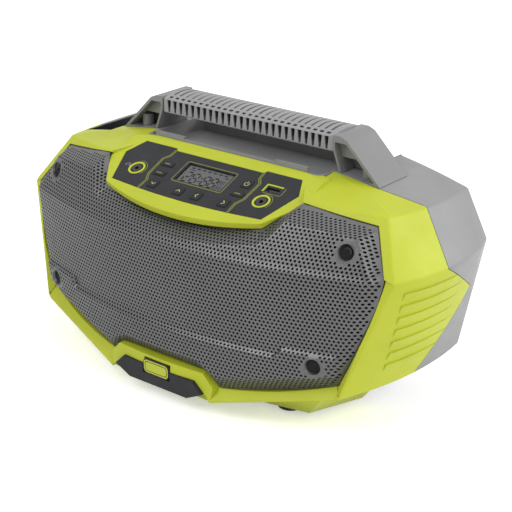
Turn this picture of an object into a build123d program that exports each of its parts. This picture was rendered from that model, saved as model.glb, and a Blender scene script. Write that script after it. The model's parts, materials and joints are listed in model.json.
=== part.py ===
"""Jobsite stereo radio: lime bezel, grey housing, carry handle, drivers, controls and FM aerial.

Millimetres. X runs along the front, Y to the back, Z up. The origin is on the floor, in the
middle of the radio's outline.
"""

import os
from collections import namedtuple
from math import asin, cos, radians, sin

from build123d import *

os.makedirs("parts", exist_ok=True)

# ------------------------------------------------------------------ driving dimensions

# Half the width at the widest point, and the depth of the flat back.
half_width = 205.4
back_y = 96.0

# Body outline: plan sections at four heights, each given by its nose, front corner,
# widest point, rear corner and tail. Both halves are the same.
Section = namedtuple("Section", "height nose corner_x corner_y waist_x waist_y tail_x tail_y tail")
keel = Section(12.0, -96.0, 50.0, -93.6, 58.0, -10.0, 60.0, back_y - 26.0, back_y - 18.0)
sill = Section(38.0, -93.4, half_width - 48.1, -65.7, half_width - 28.9, 5.0,
               half_width - 29.4, back_y - 18.0, back_y - 8.0)
ridge = Section(134.0, -83.2, half_width - 16.5, -43.4, half_width, 24.5,
                half_width - 11.7, back_y - 14.0, back_y)
brow = Section(198.0, -27.0, half_width - 53.4, -4.5, half_width - 52.2, 24.5,
               half_width - 44.4, back_y - 13.0, back_y)
crown_height = 190.0
crown_radius = 865.0

wall = 3.0
edge_radius = 4.0
brow_radius = 2.0
seam_gap = 0.5
seat_gap = 0.15
screw_fit = 0.05

# Brow facets: the top falls towards the front on each side of the control panel.
brow_point = (100.9, -36.6, 176.3)
brow_fall_front = 0.164
brow_fall_side = 0.087

# Side view of the seam between bezel and housing, as (y, z) from top to bottom.
seam_line = [(15.0, 230.0), (15.0, 180.0), (21.0, 172.5), (7.0, 134.0), (62.0, 99.5), (7.5, 38.0),
             (5.0, -5.0)]

# Grille opening, right half, as (x, z).
opening_bow = 151.0
opening_points = [(81.2, 157.4), (100.9, 175.4), (half_width - 43.2, 167.9), (half_width - 23.4, 134.5),
                  (half_width - 52.7, 46.3), (56.4, 23.3)]
opening_notch = (45.1, 35.6)
opening_side_bulge = 4.0
opening_foot_bulge = 3.0

# Badge notch in the bezel's lower edge and the plate in it.
notch_top = 27.4
notch_rise = 13.7
notch_top_half = 37.9
notch_foot_half = 52.1
notch_floor_y = -89.5
flange_depth = 14.0
flange_points = [(0.01, 140.0), (84.0, 145.0), (101.5, 172.0), (101.5, 184.0), (half_width - 37.4, 176.0),
                 (half_width - 14.4, 134.5), (half_width - 45.4, 38.0), (55.0, 13.0)]
plate_front_y = -95.8
plate_wide = (46.9, 18.4)
plate_bottom = (31.0, 10.6)
pad_span_x = (-15.0, 13.0)
pad_span_z = (20.0, 33.0)
pad_front_y = -95.7
pad_back_y = -91.6
pad_corner = 4.0

# Control panel: a plane sloping up to the back.
panel_slope = 22.75
panel_origin = (0.0, -57.3, 164.2)
land_thickness = 10.0
land_bow = -21.0
land_points = [(81.2, -6.5), (100.9, 21.5), (99.0, 62.0)]
fascia_thickness = 2.0
fascia_bow = -6.3
fascia_points = [(47.0, -4.9), (78.2, -2.3), (90.8, 30.8), (81.8, 48.6), (47.5, 48.6), (45.8, 45.8)]

lens_size = (48.0, 21.5)
lens_centre = (0.5, 25.4)
lens_thickness = 1.6
display_size = (44.0, 18.0)
display_thickness = 2.6
window_half = 54.0
window_v = (-2.8, 44.5)
board_half = 57.5
board_v = (-6.0, 48.0)
board_thickness = 1.6
chip_x = (-30.0, -6.0, 14.0, 36.0)
chip_v = 30.0
chip_size = (12.0, 9.0, 1.6)
mat_thickness = 1.2

key_travel = 0.8
key_flange_gap = 0.35
key_pad_gap = 0.35
key_corner = 1.6
key_round = 0.35
key_proud = 0.6
key_gap = 0.3
key_flange = 1.0
key_flange_thickness = 1.0
round_key = (9.0, 9.0)
long_key = (12.5, 5.6)
Key = namedtuple("Key", "name x v size")
keys = [
    Key("key_clock", -41.6, 28.6, long_key),
    Key("key_preset", -41.2, 16.8, long_key),
    Key("key_volume_down", -37.2, 3.8, round_key),
    Key("key_volume_up", -9.4, 3.2, round_key),
    Key("key_tune_down", 9.4, 3.2, round_key),
    Key("key_tune_up", 36.8, 3.8, round_key),
    Key("key_mode", 41.0, 16.8, long_key),
    Key("key_power", 41.2, 29.5, round_key),
]

jack_x = 65.4
jack_v = 15.6
jack_bore = 3.6
jack_depth = 14.0
jack_barrel = 9.0
jack_body = (13.0, 12.0, 8.0)
jack_ring_radii = (5.7, 7.5)
jack_ring_proud = 0.6
jack_ring_sunk = 0.6
usb_centre = (66.4, 30.2)
usb_opening = (12.5, 5.1)
usb_shell = 0.35
usb_depth = 13.0
usb_tongue = (11.0, 1.8)
usb_tongue_lift = 0.8

# Grille: a drawn sheet with a raised field inside a bevelled border. Depths are given as
# nose + fall * (height above the step), with the plan curve added.
grille_sheet = 1.6
grille_clearance = 0.3
grille_step = 134.0
grille_reach = 200.0
grille_curve = 44.6
rim_nose = -82.5
rim_fall = (0.03, 0.86)
field_nose = -83.0
field_fall = (0.13, 0.275)
field_top = [(105.0, 170.0), (half_width - 45.4, 164.5), (half_width - 36.7, 134.0),
             (half_width - 56.4, 57.0), (60.0, 36.5)]
field_lean = [4.0, 4.0, 1.0, 1.0]
field_land = [(0.0, 138.5), (82.6, 147.5), (90.0, 152.5), (105.0, 170.0)]
field_land_lean = 1.6
field_notch = (40.0, 47.0)
screw_spots = [(half_width - 53.3, 152.9), (half_width - 67.2, 62.7)]
cup_bore = 12.6
cup_wall = 1.2
cup_depth = 5.0
grille_screw_head = 7.0
grille_screw_cap = 2.6
grille_screw_shank = 3.5
grille_screw_length = 17.0
socket_width = 3.0

# Handle: hollow posts and a bar, with a ribbed sleeve on the bar.
handle_front = 15.8
handle_back = 54.5
post_foot = 134.4
post_lip = 180.4
post_shoulder = (102.8, 211.5)
post_inner_foot = 100.9
post_inner_top = 89.5
post_inner_wall = 2.0
post_floor_rise = 10.0
post_ceiling = 208.5
post_corner = 2.5
handle_top = 214.0
band = 3.6
bar_half = (28.0 / 2, 8.0 / 2)
bar_height = 207.0
bar_y = 35.5
grip_half_length = 89.2
grip_section = (37.5, 17.0)
grip_corner = 5.0
grip_height = 208.0
sleeve_fit = 0.15
slot_count = 26
slot_pitch = 6.62
slot_size = (3.0, 9.0, 3.2)
groove_size = (2.6, 26.0, 1.1)
post_wall = 3.6
post_web = (36.0, 39.0)
post_pocket = (23.5, 47.5)
post_step = 195.5
handle_screw_x = 117.0
handle_screw_y = (27.0, 46.5)
handle_screw_shank = 4.0
handle_screw_head = 8.0
handle_screw_length = 14.0
handle_screw_cap = 3.0
handle_boss = 10.0
handle_boss_top = 192.5
handle_bore_top = 191.0

# Device tray under the handle.
tray_half = 92.0
tray_front = -3.5
tray_back = 66.0
tray_floor = 174.0
tray_wall = 2.4
tray_corner = 9.0
lip_low = 188.4
lip_high = 190.6
lip_steps = (48.0, 80.0)
tray_slots = [(-21.0, 4.5), (21.5, 13.5), (33.0, 8.0), (68.5, 10.0)]
tray_slot = (15.0, 2.2, 0.9)

# Recess along the left shoulder and the rear top edge, with a dark liner. The telescopic FM
# aerial stands in a sleeve under its floor, and the tip is pulled straight up.
bay_floor = 161.5
bay_x = (-(half_width - 37.9), -(half_width - 65.9))
bay_y = (2.5, back_y - 12.0)
bay_rear_y = back_y - 21.0
bay_right_x = 105.0
liner = 1.5
liner_gap = 0.2
liner_inset = 0.6
liner_ribs = 7
liner_rib = (2.2, 1.2)
liner_rib_start = 7.0
liner_rib_pitch = 7.5
aerial_x = -(half_width - 52.4)
aerial_y = back_y - 26.0
aerial_radii = [3.4, 2.8, 2.2]
aerial_fit = 0.08
aerial_sleeve_wall = 0.9
aerial_step = 0.6
aerial_travel = 98.0
aerial_overlap = 18.1
tip_radius = 3.4
tip_length = 7.0

# Drivers and baffle.
driver_x = 98.0
driver_z = 97.0
driver_radius = 45.0
driver_land = 6.0
driver_hole = driver_radius - driver_land
driver_plate = 2.0
driver_screw_inset = 2.7
driver_screw_circle = driver_radius - driver_screw_inset
driver_screw_shank = 2.4
driver_screw_head = 4.2
driver_screw_length = 7.0
surround_inset = (13.5, 7.0, 5.0)
surround_radii = [driver_radius - inset for inset in surround_inset]
surround_sheet = 0.7
surround_roll = 3.0
cone_neck = 11.0
cone_rise = 16.0
cone_sheet = 0.8
basket_neck = 25.0
basket_depth = 30.0
basket_wall = 1.6
basket_windows = 6
basket_window = 16.0
cap_rise = 5.0
cap_radius = 14.5
magnet_radius = 30.0
magnet_thickness = 17.0
pole_plate = 3.0
baffle_front = -44.0
baffle_thickness = 4.0
baffle_points = [(75.0, 150.0), (98.0, 160.0), (half_width - 65.4, 158.0), (half_width - 45.4, 140.0),
                 (half_width - 58.4, 52.0), (58.0, 34.0), (43.0, 44.0)]
baffle_top = 147.0
baffle_tab = 8.0
gasket_thickness = 1.3

# Battery bay and rear fittings.
battery_half = 43.0
battery_z = (24.0, 112.0)
battery_floor_y = back_y - 30.0
battery_wall = 2.6
rail = (5.0, 6.0)
rail_z = 92.0
rail_y = (battery_floor_y + 3.0, back_y - 8.0)
terminal_block = (34.0, 12.0, 26.0)
terminal_z = 60.0
blade = (1.0, 9.0, 14.0)
blade_pitch = 9.0
blade_count = 3

inlet_x = 118.0
inlet_z = 60.0
inlet_body = (27.0, 22.0, 17.0)
inlet_face_y = back_y - 13.0
inlet_recess_radius = 5.6
inlet_recess_depth = 15.0
inlet_pin_radius = 1.2
inlet_pin_pitch = 8.6
inlet_pin_sunk = 2.0
inlet_collar = 3.0
inlet_web = 8.0

# Case screws: (x, z, y of the joint between pillar and tube).
case_screw_spots = [(half_width - 67.4, 63.0, 30.0), (half_width - 39.4, 149.5, 12.0)]
case_screw_head = 7.0
case_screw_cap = 2.6
case_screw_shank = 3.8
case_screw_length = 16.0
case_tube = 6.5
case_well = 4.5
case_floor = 4.0
lug_low = ((half_width - 75.4, half_width - 15.4), (-39.8, -30.0), (56.0, 70.0))
lug_high = ((half_width - 61.4, half_width - 15.4), (-29.5, -20.0), (143.0, 156.0))

vent_x = (-112.0, 112.0)
vent_start_y = 60.0
vent_slots = 6
vent_pitch = 9.0
vent_slot = (46.0, 3.0)
vent_z = 92.0

foot_radius = 10.5
foot_height = 5.0
foot_sunk = 1.0
foot_plane = 4.0
foot_spots = [("foot_front_left", -91.0, -36.5), ("foot_front_right", 91.0, -36.5),
              ("foot_rear_left", -91.0, 48.0), ("foot_rear_right", 91.0, 48.0)]
front_block_low = [(76.0, -52.0), (115.0, -43.5), (133.0, 4.0), (76.0, 4.0)]
front_block_high = [(70.0, -76.0), (145.0, -62.0), (160.0, 4.0), (70.0, 4.0)]
rear_block_low = [(76.0, 5.5), (126.0, 5.5), (118.0, 62.0), (76.0, 62.0)]
rear_block_high = [(70.0, 8.0), (158.0, 8.0), (150.0, 74.0), (70.0, 74.0)]

# Boards and other parts inside.
# Components on the main board: x, z and (width, depth, height).
board_parts = [
    (-28.0, 118.0, (24.0, 6.0, 18.0)),
    (4.0, 112.0, (18.0, 2.0, 18.0)),
    (30.0, 112.0, (10.0, 9.0, 14.0)),
    (-30.0, 70.0, (12.0, 11.0, 12.0)),
    (-12.0, 70.0, (12.0, 11.0, 12.0)),
    (24.0, 60.0, (20.0, 7.0, 8.0)),
]
main_board_half = 45.0
main_board_z = (32.0, 138.0)
main_board_y = -20.0
main_board_posts = (40.0, (40.0, 106.0))
board_post = 3.0
heat_sink_half = 30.0
heat_sink_z = (58.0, 104.0)
heat_sink_depth = 16.0
fin_count = 9
fin_thickness = 1.6
power_board_x = (60.0, 150.0)
power_board_z = (76.0, 136.0)
power_board_y = 58.0
power_board_margin = 6.0
capacitor_x = 136.0
capacitor_z = (100.0, 120.0)
capacitor_radius = 7.0
capacitor_height = 22.0
cooler_x = (64.0, 78.0)
cooler_z = (90.0, 126.0)
cooler_height = 12.0
transformer_x = (84.0, 124.0)
transformer_z = (86.0, 120.0)
transformer_depth = 27.0
winding_size = (22.0, 42.0)
winding_proud = 4.0
ferrite_radius = 5.0
ferrite_length = 100.0
ferrite_y = 40.0
ferrite_z = 160.0
coil_x = 22.0
coil_length = 20.0
coil_wire = 1.2
clip_x = 42.0
clip_size = (5.0, 15.0)
clip_drop = 7.0

# Side ribs of the bezel, under the ridge. Each is a wedge that is flush at its front end and
# along its top, and stands proud at its foot.
rib_rows = 7
rib_pitch = 10.6
rib_top = 124.0
rib_height = 6.5
rib_tilt = 11.0
rib_start = -33.0
rib_stagger = 0.4
rib_reach = 70.0

slope = radians(panel_slope)
panel_normal = (0.0, -sin(slope), cos(slope))
panel = Plane(origin=panel_origin, x_dir=(1, 0, 0), z_dir=panel_normal)
far = 400.0


def save(part, name):
    """Label a finished piece and write its file."""
    part.label = name
    export_step(part, f"parts/{name}.step")


def mirrored(points):
    """Right-hand points followed by their mirror images, as one closed outline."""
    left = [(-x, z) for x, z in reversed(points)]
    return points + left


def outline_face(plane, points):
    """Closed straight-sided face on a plane."""
    with BuildSketch(plane) as sketch:
        with BuildLine():
            Polyline(points, close=True)
        make_face()
    return sketch.sketch


# ------------------------------------------------------------------ body envelope


def body_section(section, inset, lift=0.0):
    """Plan outline of the body at one height, moved inwards by inset."""
    side = 1.1 * inset
    corner = (section.corner_x - side, section.corner_y + inset)
    waist = (section.waist_x - side, section.waist_y)
    tail = (section.tail_x - side, section.tail_y - inset)
    with BuildSketch(Plane.XY.offset(section.height + lift)) as sketch:
        with BuildLine():
            ThreePointArc((-corner[0], corner[1]), (0, section.nose + inset), corner)
            ThreePointArc(corner, waist, tail)
            ThreePointArc(tail, (0, section.tail - inset), (-tail[0], tail[1]))
            ThreePointArc((-tail[0], tail[1]), (-waist[0], waist[1]), (-corner[0], corner[1]))
        make_face()
    return sketch.sketch


def crown_disc(inset):
    """Round top of the radio, seen from the front."""
    with BuildSketch(Plane.XZ.offset(-far / 2)) as sketch:
        with Locations((0, crown_height - crown_radius)):
            Circle(crown_radius - inset)
    return sketch.sketch


def brow_cutter(side, inset):
    """Solid above the brow facet on one side (side is +1 or -1)."""
    x, y, z = brow_point
    normal = Vector(side * brow_fall_side, -brow_fall_front, 1.0).normalized()
    facet = Plane(origin=(side * x, y, z - inset), z_dir=normal)
    with BuildPart() as cutter:
        with BuildSketch(facet):
            Rectangle(2 * far, 2 * far)
        extrude(amount=60)
        with BuildSketch(Plane.YZ):
            Rectangle(2 * far, 2 * far)
        extrude(amount=side * far, mode=Mode.INTERSECT)
    return cutter.part


def body_form(inset, rounded=False):
    """The whole body as one solid, inset from its outer skin."""
    with BuildPart() as form:
        sections = [
            body_section(keel, inset, inset),
            body_section(sill, inset, inset / 3),
            body_section(ridge, inset),
            body_section(brow, inset),
        ]
        loft(sections, ruled=True)
        extrude(crown_disc(inset), amount=far, mode=Mode.INTERSECT)
        if rounded:
            upper = form.edges().filter_by(lambda e: e.center().Z > (keel.height + sill.height) / 2)
            fillet(upper, radius=edge_radius)
        add(brow_cutter(1, inset), mode=Mode.SUBTRACT)
        add(brow_cutter(-1, inset), mode=Mode.SUBTRACT)
        if rounded:
            longest = form.edges().filter_by(lambda e: e.length > 100)
            front = longest.filter_by(lambda e: e.center().Y < -30 and e.center().Z > 174)
            fillet(front, radius=brow_radius)
    return form.part


def land_outline(extra):
    """Outline of the sloping land round the control panel."""
    right, side, top = land_points
    with BuildSketch(panel) as sketch:
        with BuildLine():
            Polyline([right, side, top, (-top[0], top[1]), (-side[0], side[1]), (-right[0], right[1])])
            ThreePointArc((-right[0], right[1]), (0, land_bow), right)
        make_face()
        if extra:
            offset(amount=extra)
    return sketch.sketch


def opening_outline(shrink=0.0):
    """Grille opening, seen from the front."""
    shoulder, top_in, top_out, side, low_out, low_in = opening_points
    notch = opening_notch
    with BuildSketch(Plane.XZ.offset(far / 4)) as sketch:
        with BuildLine():
            for s in (1, -1):
                Line((s * shoulder[0], shoulder[1]), (s * top_in[0], top_in[1]))
                Line((s * top_in[0], top_in[1]), (s * top_out[0], top_out[1]))
                Line((s * top_out[0], top_out[1]), (s * side[0], side[1]))
                middle_x = (side[0] + low_out[0]) / 2 + opening_side_bulge
                middle_z = (side[1] + low_out[1]) / 2
                ThreePointArc((s * side[0], side[1]), (s * middle_x, middle_z), (s * low_out[0], low_out[1]))
                middle_x = (low_out[0] + low_in[0]) / 2
                middle_z = (low_out[1] + low_in[1]) / 2 - opening_foot_bulge
                foot_middle = (s * middle_x, middle_z)
                ThreePointArc((s * low_out[0], low_out[1]), foot_middle, (s * low_in[0], low_in[1]))
                Line((s * low_in[0], low_in[1]), (s * notch[0], notch[1]))
            Line(notch, (-notch[0], notch[1]))
            ThreePointArc((-shoulder[0], shoulder[1]), (0, opening_bow), shoulder)
        make_face()
        if shrink:
            offset(amount=-shrink, kind=Kind.INTERSECTION)
    return sketch.sketch


def seam_side(grow):
    """Everything in front of the seam, as a prism across the whole width."""
    with BuildPart() as prism:
        with BuildSketch(Plane.YZ.offset(-far)):
            with BuildLine():
                Polyline([(-far, -5.0), (-far, 230.0)] + seam_line, close=True)
            make_face()
            if grow:
                offset(amount=grow, kind=Kind.INTERSECTION)
        extrude(amount=2 * far)
    return prism.part


def above_land():
    """Space over the control panel's land, cleared from the body."""
    with BuildPart() as space:
        with BuildSketch(panel):
            with BuildLine():
                Polyline([(96.0, -60.0), (100.9, 23.0), (84.0, 49.0), (80.0, 80.0),
                          (-80.0, 80.0), (-84.0, 49.0), (-100.9, 23.0), (-96.0, -60.0)], close=True)
            make_face()
        extrude(amount=60)
    return space.part


def block(x, y, z):
    """Plain block given by its low and high limits on each axis."""
    with BuildPart() as solid:
        with Locations(((x[0] + x[1]) / 2, (y[0] + y[1]) / 2, (z[0] + z[1]) / 2)):
            Box(x[1] - x[0], y[1] - y[0], z[1] - z[0])
    return solid.part


def rod_y(x, z, radius, y):
    """Round bar along Y between two depths."""
    with BuildPart() as bar:
        with BuildSketch(Plane.XZ.offset(-y[1])):
            with Locations((x, z)):
                Circle(radius)
        extrude(amount=y[1] - y[0])
    return bar.part


def rod_z(x, y, radius, z):
    """Round bar along Z between two heights."""
    with BuildPart() as bar:
        with BuildSketch(Plane.XY.offset(z[0])):
            with Locations((x, y)):
                Circle(radius)
        extrude(amount=z[1] - z[0])
    return bar.part


def side_prism(points, y):
    """Straight prism along Y over an outline given as (x, z)."""
    with BuildPart() as prism:
        extrude(outline_face(Plane.XZ.offset(-y[1]), points), amount=y[1] - y[0])
    return prism.part


def panel_block(x, v, n):
    """Block square to the control panel: across, up the slope and along its normal."""
    with BuildPart() as solid:
        with BuildSketch(panel.offset(n[0])):
            with Locations(((x[0] + x[1]) / 2, (v[0] + v[1]) / 2)):
                Rectangle(x[1] - x[0], v[1] - v[0])
        extrude(amount=n[1] - n[0])
    return solid.part


def panel_rod(x, v, radius, n):
    """Round bar along the control panel's normal."""
    with BuildPart() as bar:
        with BuildSketch(panel.offset(n[0])):
            with Locations((x, v)):
                Circle(radius)
        extrude(amount=n[1] - n[0])
    return bar.part


def centred(middle, size):
    """Low and high limits of a span."""
    return middle - size / 2, middle + size / 2


def foot_block(low_points, high_points, side):
    """Tapered block between the feet and the underside."""
    low = outline_face(Plane.XY.offset(foot_plane), [(side * x, y) for x, y in low_points])
    high = outline_face(Plane.XY.offset(sill.height), [(side * x, y) for x, y in high_points])
    with BuildPart() as solid:
        loft([low, high], ruled=True)
    return solid.part


def tray_space(grow):
    """Rounded well for the device tray."""
    with BuildPart() as space:
        with BuildSketch(Plane.XY.offset(tray_floor - tray_wall - grow)):
            with Locations((0, (tray_front + tray_back) / 2)):
                RectangleRounded(2 * (tray_half + grow), tray_back - tray_front + 2 * grow, tray_corner)
        extrude(amount=60)
    return space.part


def bay_space(grow):
    """L-shaped recess along the left shoulder and the rear top edge."""
    side_arm = block((bay_x[0] - grow, bay_x[1] + grow), (bay_y[0] - grow, far), (bay_floor - grow, far))
    rear_arm = block((bay_x[1] - 5, bay_right_x + grow), (bay_rear_y - grow, far), (bay_floor - grow, far))
    with BuildPart() as space:
        add(side_arm)
        add(rear_arm)
    return space.part


def fascia_outline(shrink):
    """Outline of the control fascia."""
    with BuildSketch(panel) as sketch:
        with BuildLine():
            Polyline(fascia_points + [(-x, v) for x, v in reversed(fascia_points)])
            first = fascia_points[0]
            ThreePointArc((-first[0], first[1]), (0, fascia_bow), first)
        make_face()
        if shrink:
            offset(amount=-shrink, kind=Kind.INTERSECTION)
    return sketch.sketch


envelope = body_form(0)
skin = body_form(0, rounded=True)
cavity = body_form(wall)
seam_front = seam_side(0)
seam_rear = seam_side(seam_gap)
sides = (1, -1)

# ------------------------------------------------------------------ front bezel

# Deep band of wall round the grille opening and behind the badge notch.
with BuildPart() as flange:
    add(side_prism(mirrored(flange_points), (-far / 4, 5)))
    add(envelope, mode=Mode.INTERSECT)
    add(envelope.moved(Location((0, flange_depth, 0))), mode=Mode.SUBTRACT)

notch_backing = block((-notch_foot_half - 6, notch_foot_half + 6), (-far, notch_floor_y + wall), (0, 42))

with BuildPart() as hollow:
    add(cavity)
    add(flange.part, mode=Mode.SUBTRACT)
    add(notch_backing, mode=Mode.SUBTRACT)


def bevel_cutter(side, inner, outer, on_plane):
    """Wedge between an opening edge and the outer ridge, in front of the plane through three corners."""
    first, second = [Vector(side * x, y, z) for x, y, z in inner]
    third, fourth = [Vector(side * x, y, z) for x, y, z in outer]
    start, end, beside = [Vector(side * x, y, z) for x, y, z in on_plane]
    normal = (end - start).cross(beside - start).normalized()
    if normal.Y > 0:
        normal = normal * -1
    plane = Plane(origin=start, x_dir=(end - start).normalized(), z_dir=normal)
    middle = (first + second) * 0.5
    inward = middle - (third + fourth) * 0.5
    reach = [fourth - inward * 0.6, third - inward * 0.6, first + inward, second + inward]
    outline = [(p.X, p.Z) for p in reach]
    with BuildPart() as cutter:
        add(side_prism(outline, (-far / 2, 0)))
        with BuildSketch(plane):
            Rectangle(far, far)
        extrude(amount=far / 2, mode=Mode.INTERSECT)
    return cutter.part


# Opening edge and outer ridge at the widest point, the lower corner and beside the notch.
side_point, corner_point, notch_point = opening_points[3:]
edge_side = (side_point[0], -44.2, side_point[1])
edge_corner = (corner_point[0], -58.1, corner_point[1])
edge_notch = (notch_point[0], -83.0, notch_point[1])
ridge_side = (ridge.corner_x, ridge.corner_y, ridge.height)
ridge_corner = (sill.corner_x + 0.5, sill.corner_y + 0.2, sill.height + 1.2)
ridge_notch = (52.1, -93.4, 13.2)
# The side bevel folds along a line from the opening's widest point to the ridge's lower corner.
bevels = [((edge_side, edge_corner), (ridge_side, ridge_corner), (edge_side, edge_corner, ridge_corner)),
          ((edge_side, edge_corner), (ridge_side, ridge_corner), (edge_side, ridge_corner, ridge_side)),
          ((edge_corner, edge_notch), (ridge_corner, ridge_notch), (edge_corner, edge_notch, ridge_corner))]


def side_point_at(side, y, z):
    """Point on the side of the body at a depth and a height."""
    hits = envelope.find_intersection_points(Axis((0, y, z), (side, 0, 0)))
    return max((point for point, normal in hits), key=lambda point: side * point.X)


def side_rib(side, row):
    """One wedge on the side of the body: its crease runs from the foot's front end to the top."""
    top = rib_top - row * rib_pitch
    start = rib_start + row * rib_stagger
    front = side_point_at(side, start, top - rib_height)
    end = side_point_at(side, start + rib_reach, top)
    crease = Axis(front, end - front)
    span = sorted((side * half_width / 2, side * far))
    with BuildPart() as rib:
        add(envelope.rotate(crease, side * rib_tilt))
        add(block(span, (start, far), (top - rib_height, top)), mode=Mode.INTERSECT)
    return rib.part


def lug(side, limits):
    """Lug on the inside of the bezel, reaching in from the side wall."""
    across, deep, high = limits
    span = (side * across[0], side * across[1])
    with BuildPart() as solid:
        add(block((min(span), max(span)), deep, high))
        add(core, mode=Mode.INTERSECT)
    return solid.part


def field_depth(x, z):
    """Depth of the grille's raised field."""
    fall = field_fall[0] if z < grille_step else field_fall[1]
    return field_nose + grille_curve * (x / grille_reach) ** 2 + fall * (z - grille_step)


core = body_form(wall / 2)

with BuildPart() as land:
    extrude(land_outline(0), amount=-land_thickness)
    extrude(crown_disc(0), amount=far, mode=Mode.INTERSECT)
    extrude(opening_outline(), amount=-far / 4 + 50, mode=Mode.SUBTRACT)

with BuildPart() as bezel:
    add(skin)
    for side in sides:
        add(foot_block(front_block_low, front_block_high, side))
        for inner, outer, on_plane in bevels:
            add(bevel_cutter(side, inner, outer, on_plane), mode=Mode.SUBTRACT)
        for row in range(rib_rows):
            add(side_rib(side, row))
    add(hollow.part, mode=Mode.SUBTRACT)
    add(above_land(), mode=Mode.SUBTRACT)
    extrude(opening_outline(), amount=-far / 4 + 5, mode=Mode.SUBTRACT)
    add(land.part)
    add(seam_front, mode=Mode.INTERSECT)
    add(tray_space(2 * seat_gap), mode=Mode.SUBTRACT)
    add(bay_space(liner + liner_gap), mode=Mode.SUBTRACT)
    # Pocket and window for the control panel.
    extrude(fascia_outline(-seat_gap), amount=-fascia_thickness - seat_gap, mode=Mode.SUBTRACT)
    through = (-land_thickness - 2, 0)
    add(panel_block((-window_half, window_half), window_v, through), mode=Mode.SUBTRACT)
    for side in sides:
        add(panel_rod(side * jack_x, jack_v, jack_barrel / 2 + 2 * seat_gap, through), mode=Mode.SUBTRACT)
    usb_x = centred(usb_centre[0], usb_opening[0] + 2 * usb_shell + 4 * seat_gap)
    usb_v = centred(usb_centre[1], usb_opening[1] + 2 * usb_shell + 4 * seat_gap)
    add(panel_block(usb_x, usb_v, through), mode=Mode.SUBTRACT)
    # Badge notch and the small pad's seat above it.
    notch = [(notch_top_half, notch_top), (notch_foot_half, notch_top - notch_rise),
             (notch_foot_half + 8, -10.0)]
    add(side_prism(mirrored(notch), (-far / 2, notch_floor_y)), mode=Mode.SUBTRACT)
    seat_x = (pad_span_x[0] - seat_gap, pad_span_x[1] + seat_gap)
    seat_z = (pad_span_z[0] - seat_gap, pad_span_z[1] + seat_gap)
    add(block(seat_x, (-far / 2, pad_back_y + seat_gap), seat_z), mode=Mode.SUBTRACT)
    # Lugs and pillars for the grille screws and the case screws.
    for side in sides:
        add(lug(side, lug_low))
        add(lug(side, lug_high))
        x, z = screw_spots[0]
        add(rod_y(side * x, z, case_well, (baffle_front + baffle_thickness + seat_gap, lug_high[1][0] + 1)))
        hole = rod_y(side * x, z, grille_screw_shank / 2 + screw_fit, (-far / 4, lug_high[1][1] - 2))
        add(hole, mode=Mode.SUBTRACT)
        for (x, z, joint), limits in zip(case_screw_spots, (lug_low, lug_high)):
            add(rod_y(side * x, z, case_well, (limits[1][1] - 1, joint)))
            hole_depth = case_screw_length - case_floor + 1
            hole = rod_y(side * x, z, case_screw_shank / 2 + screw_fit, (joint - hole_depth, joint + 1))
            add(hole, mode=Mode.SUBTRACT)
    for name, x, y in foot_spots[:2]:
        add(rod_z(x, y, foot_radius + seat_gap, (0, foot_plane + foot_sunk)), mode=Mode.SUBTRACT)
save(bezel.part, "front_bezel")

# ------------------------------------------------------------------ rear housing


def rod_to_wall(x, z, radius, y):
    """Round bar from a depth back to the rear wall."""
    with BuildPart() as bar:
        add(rod_y(x, z, radius, (y, far / 2)))
        add(core, mode=Mode.INTERSECT)
    return bar.part


def battery_box(grow):
    """Space of the battery bay, open to the back."""
    x = (-battery_half - grow, battery_half + grow)
    return block(x, (battery_floor_y - grow, far / 2), (battery_z[0] - grow, battery_z[1] + grow))


def inlet_space(grow):
    """Space round the mains inlet, open to the back."""
    x = centred(inlet_x, inlet_body[0] + 2 * grow)
    z = centred(inlet_z, inlet_body[2] + 2 * grow)
    return block(x, (inlet_face_y - inlet_body[1] + 6, far / 2), z)


with BuildPart() as inner_rear:
    add(cavity)
    add(battery_box(battery_wall), mode=Mode.SUBTRACT)
    add(inlet_space(inlet_collar), mode=Mode.SUBTRACT)
    for side in sides:
        for x, z, joint in case_screw_spots:
            add(rod_y(side * x, z, case_tube, (joint + seat_gap, far / 2)), mode=Mode.SUBTRACT)

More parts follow.
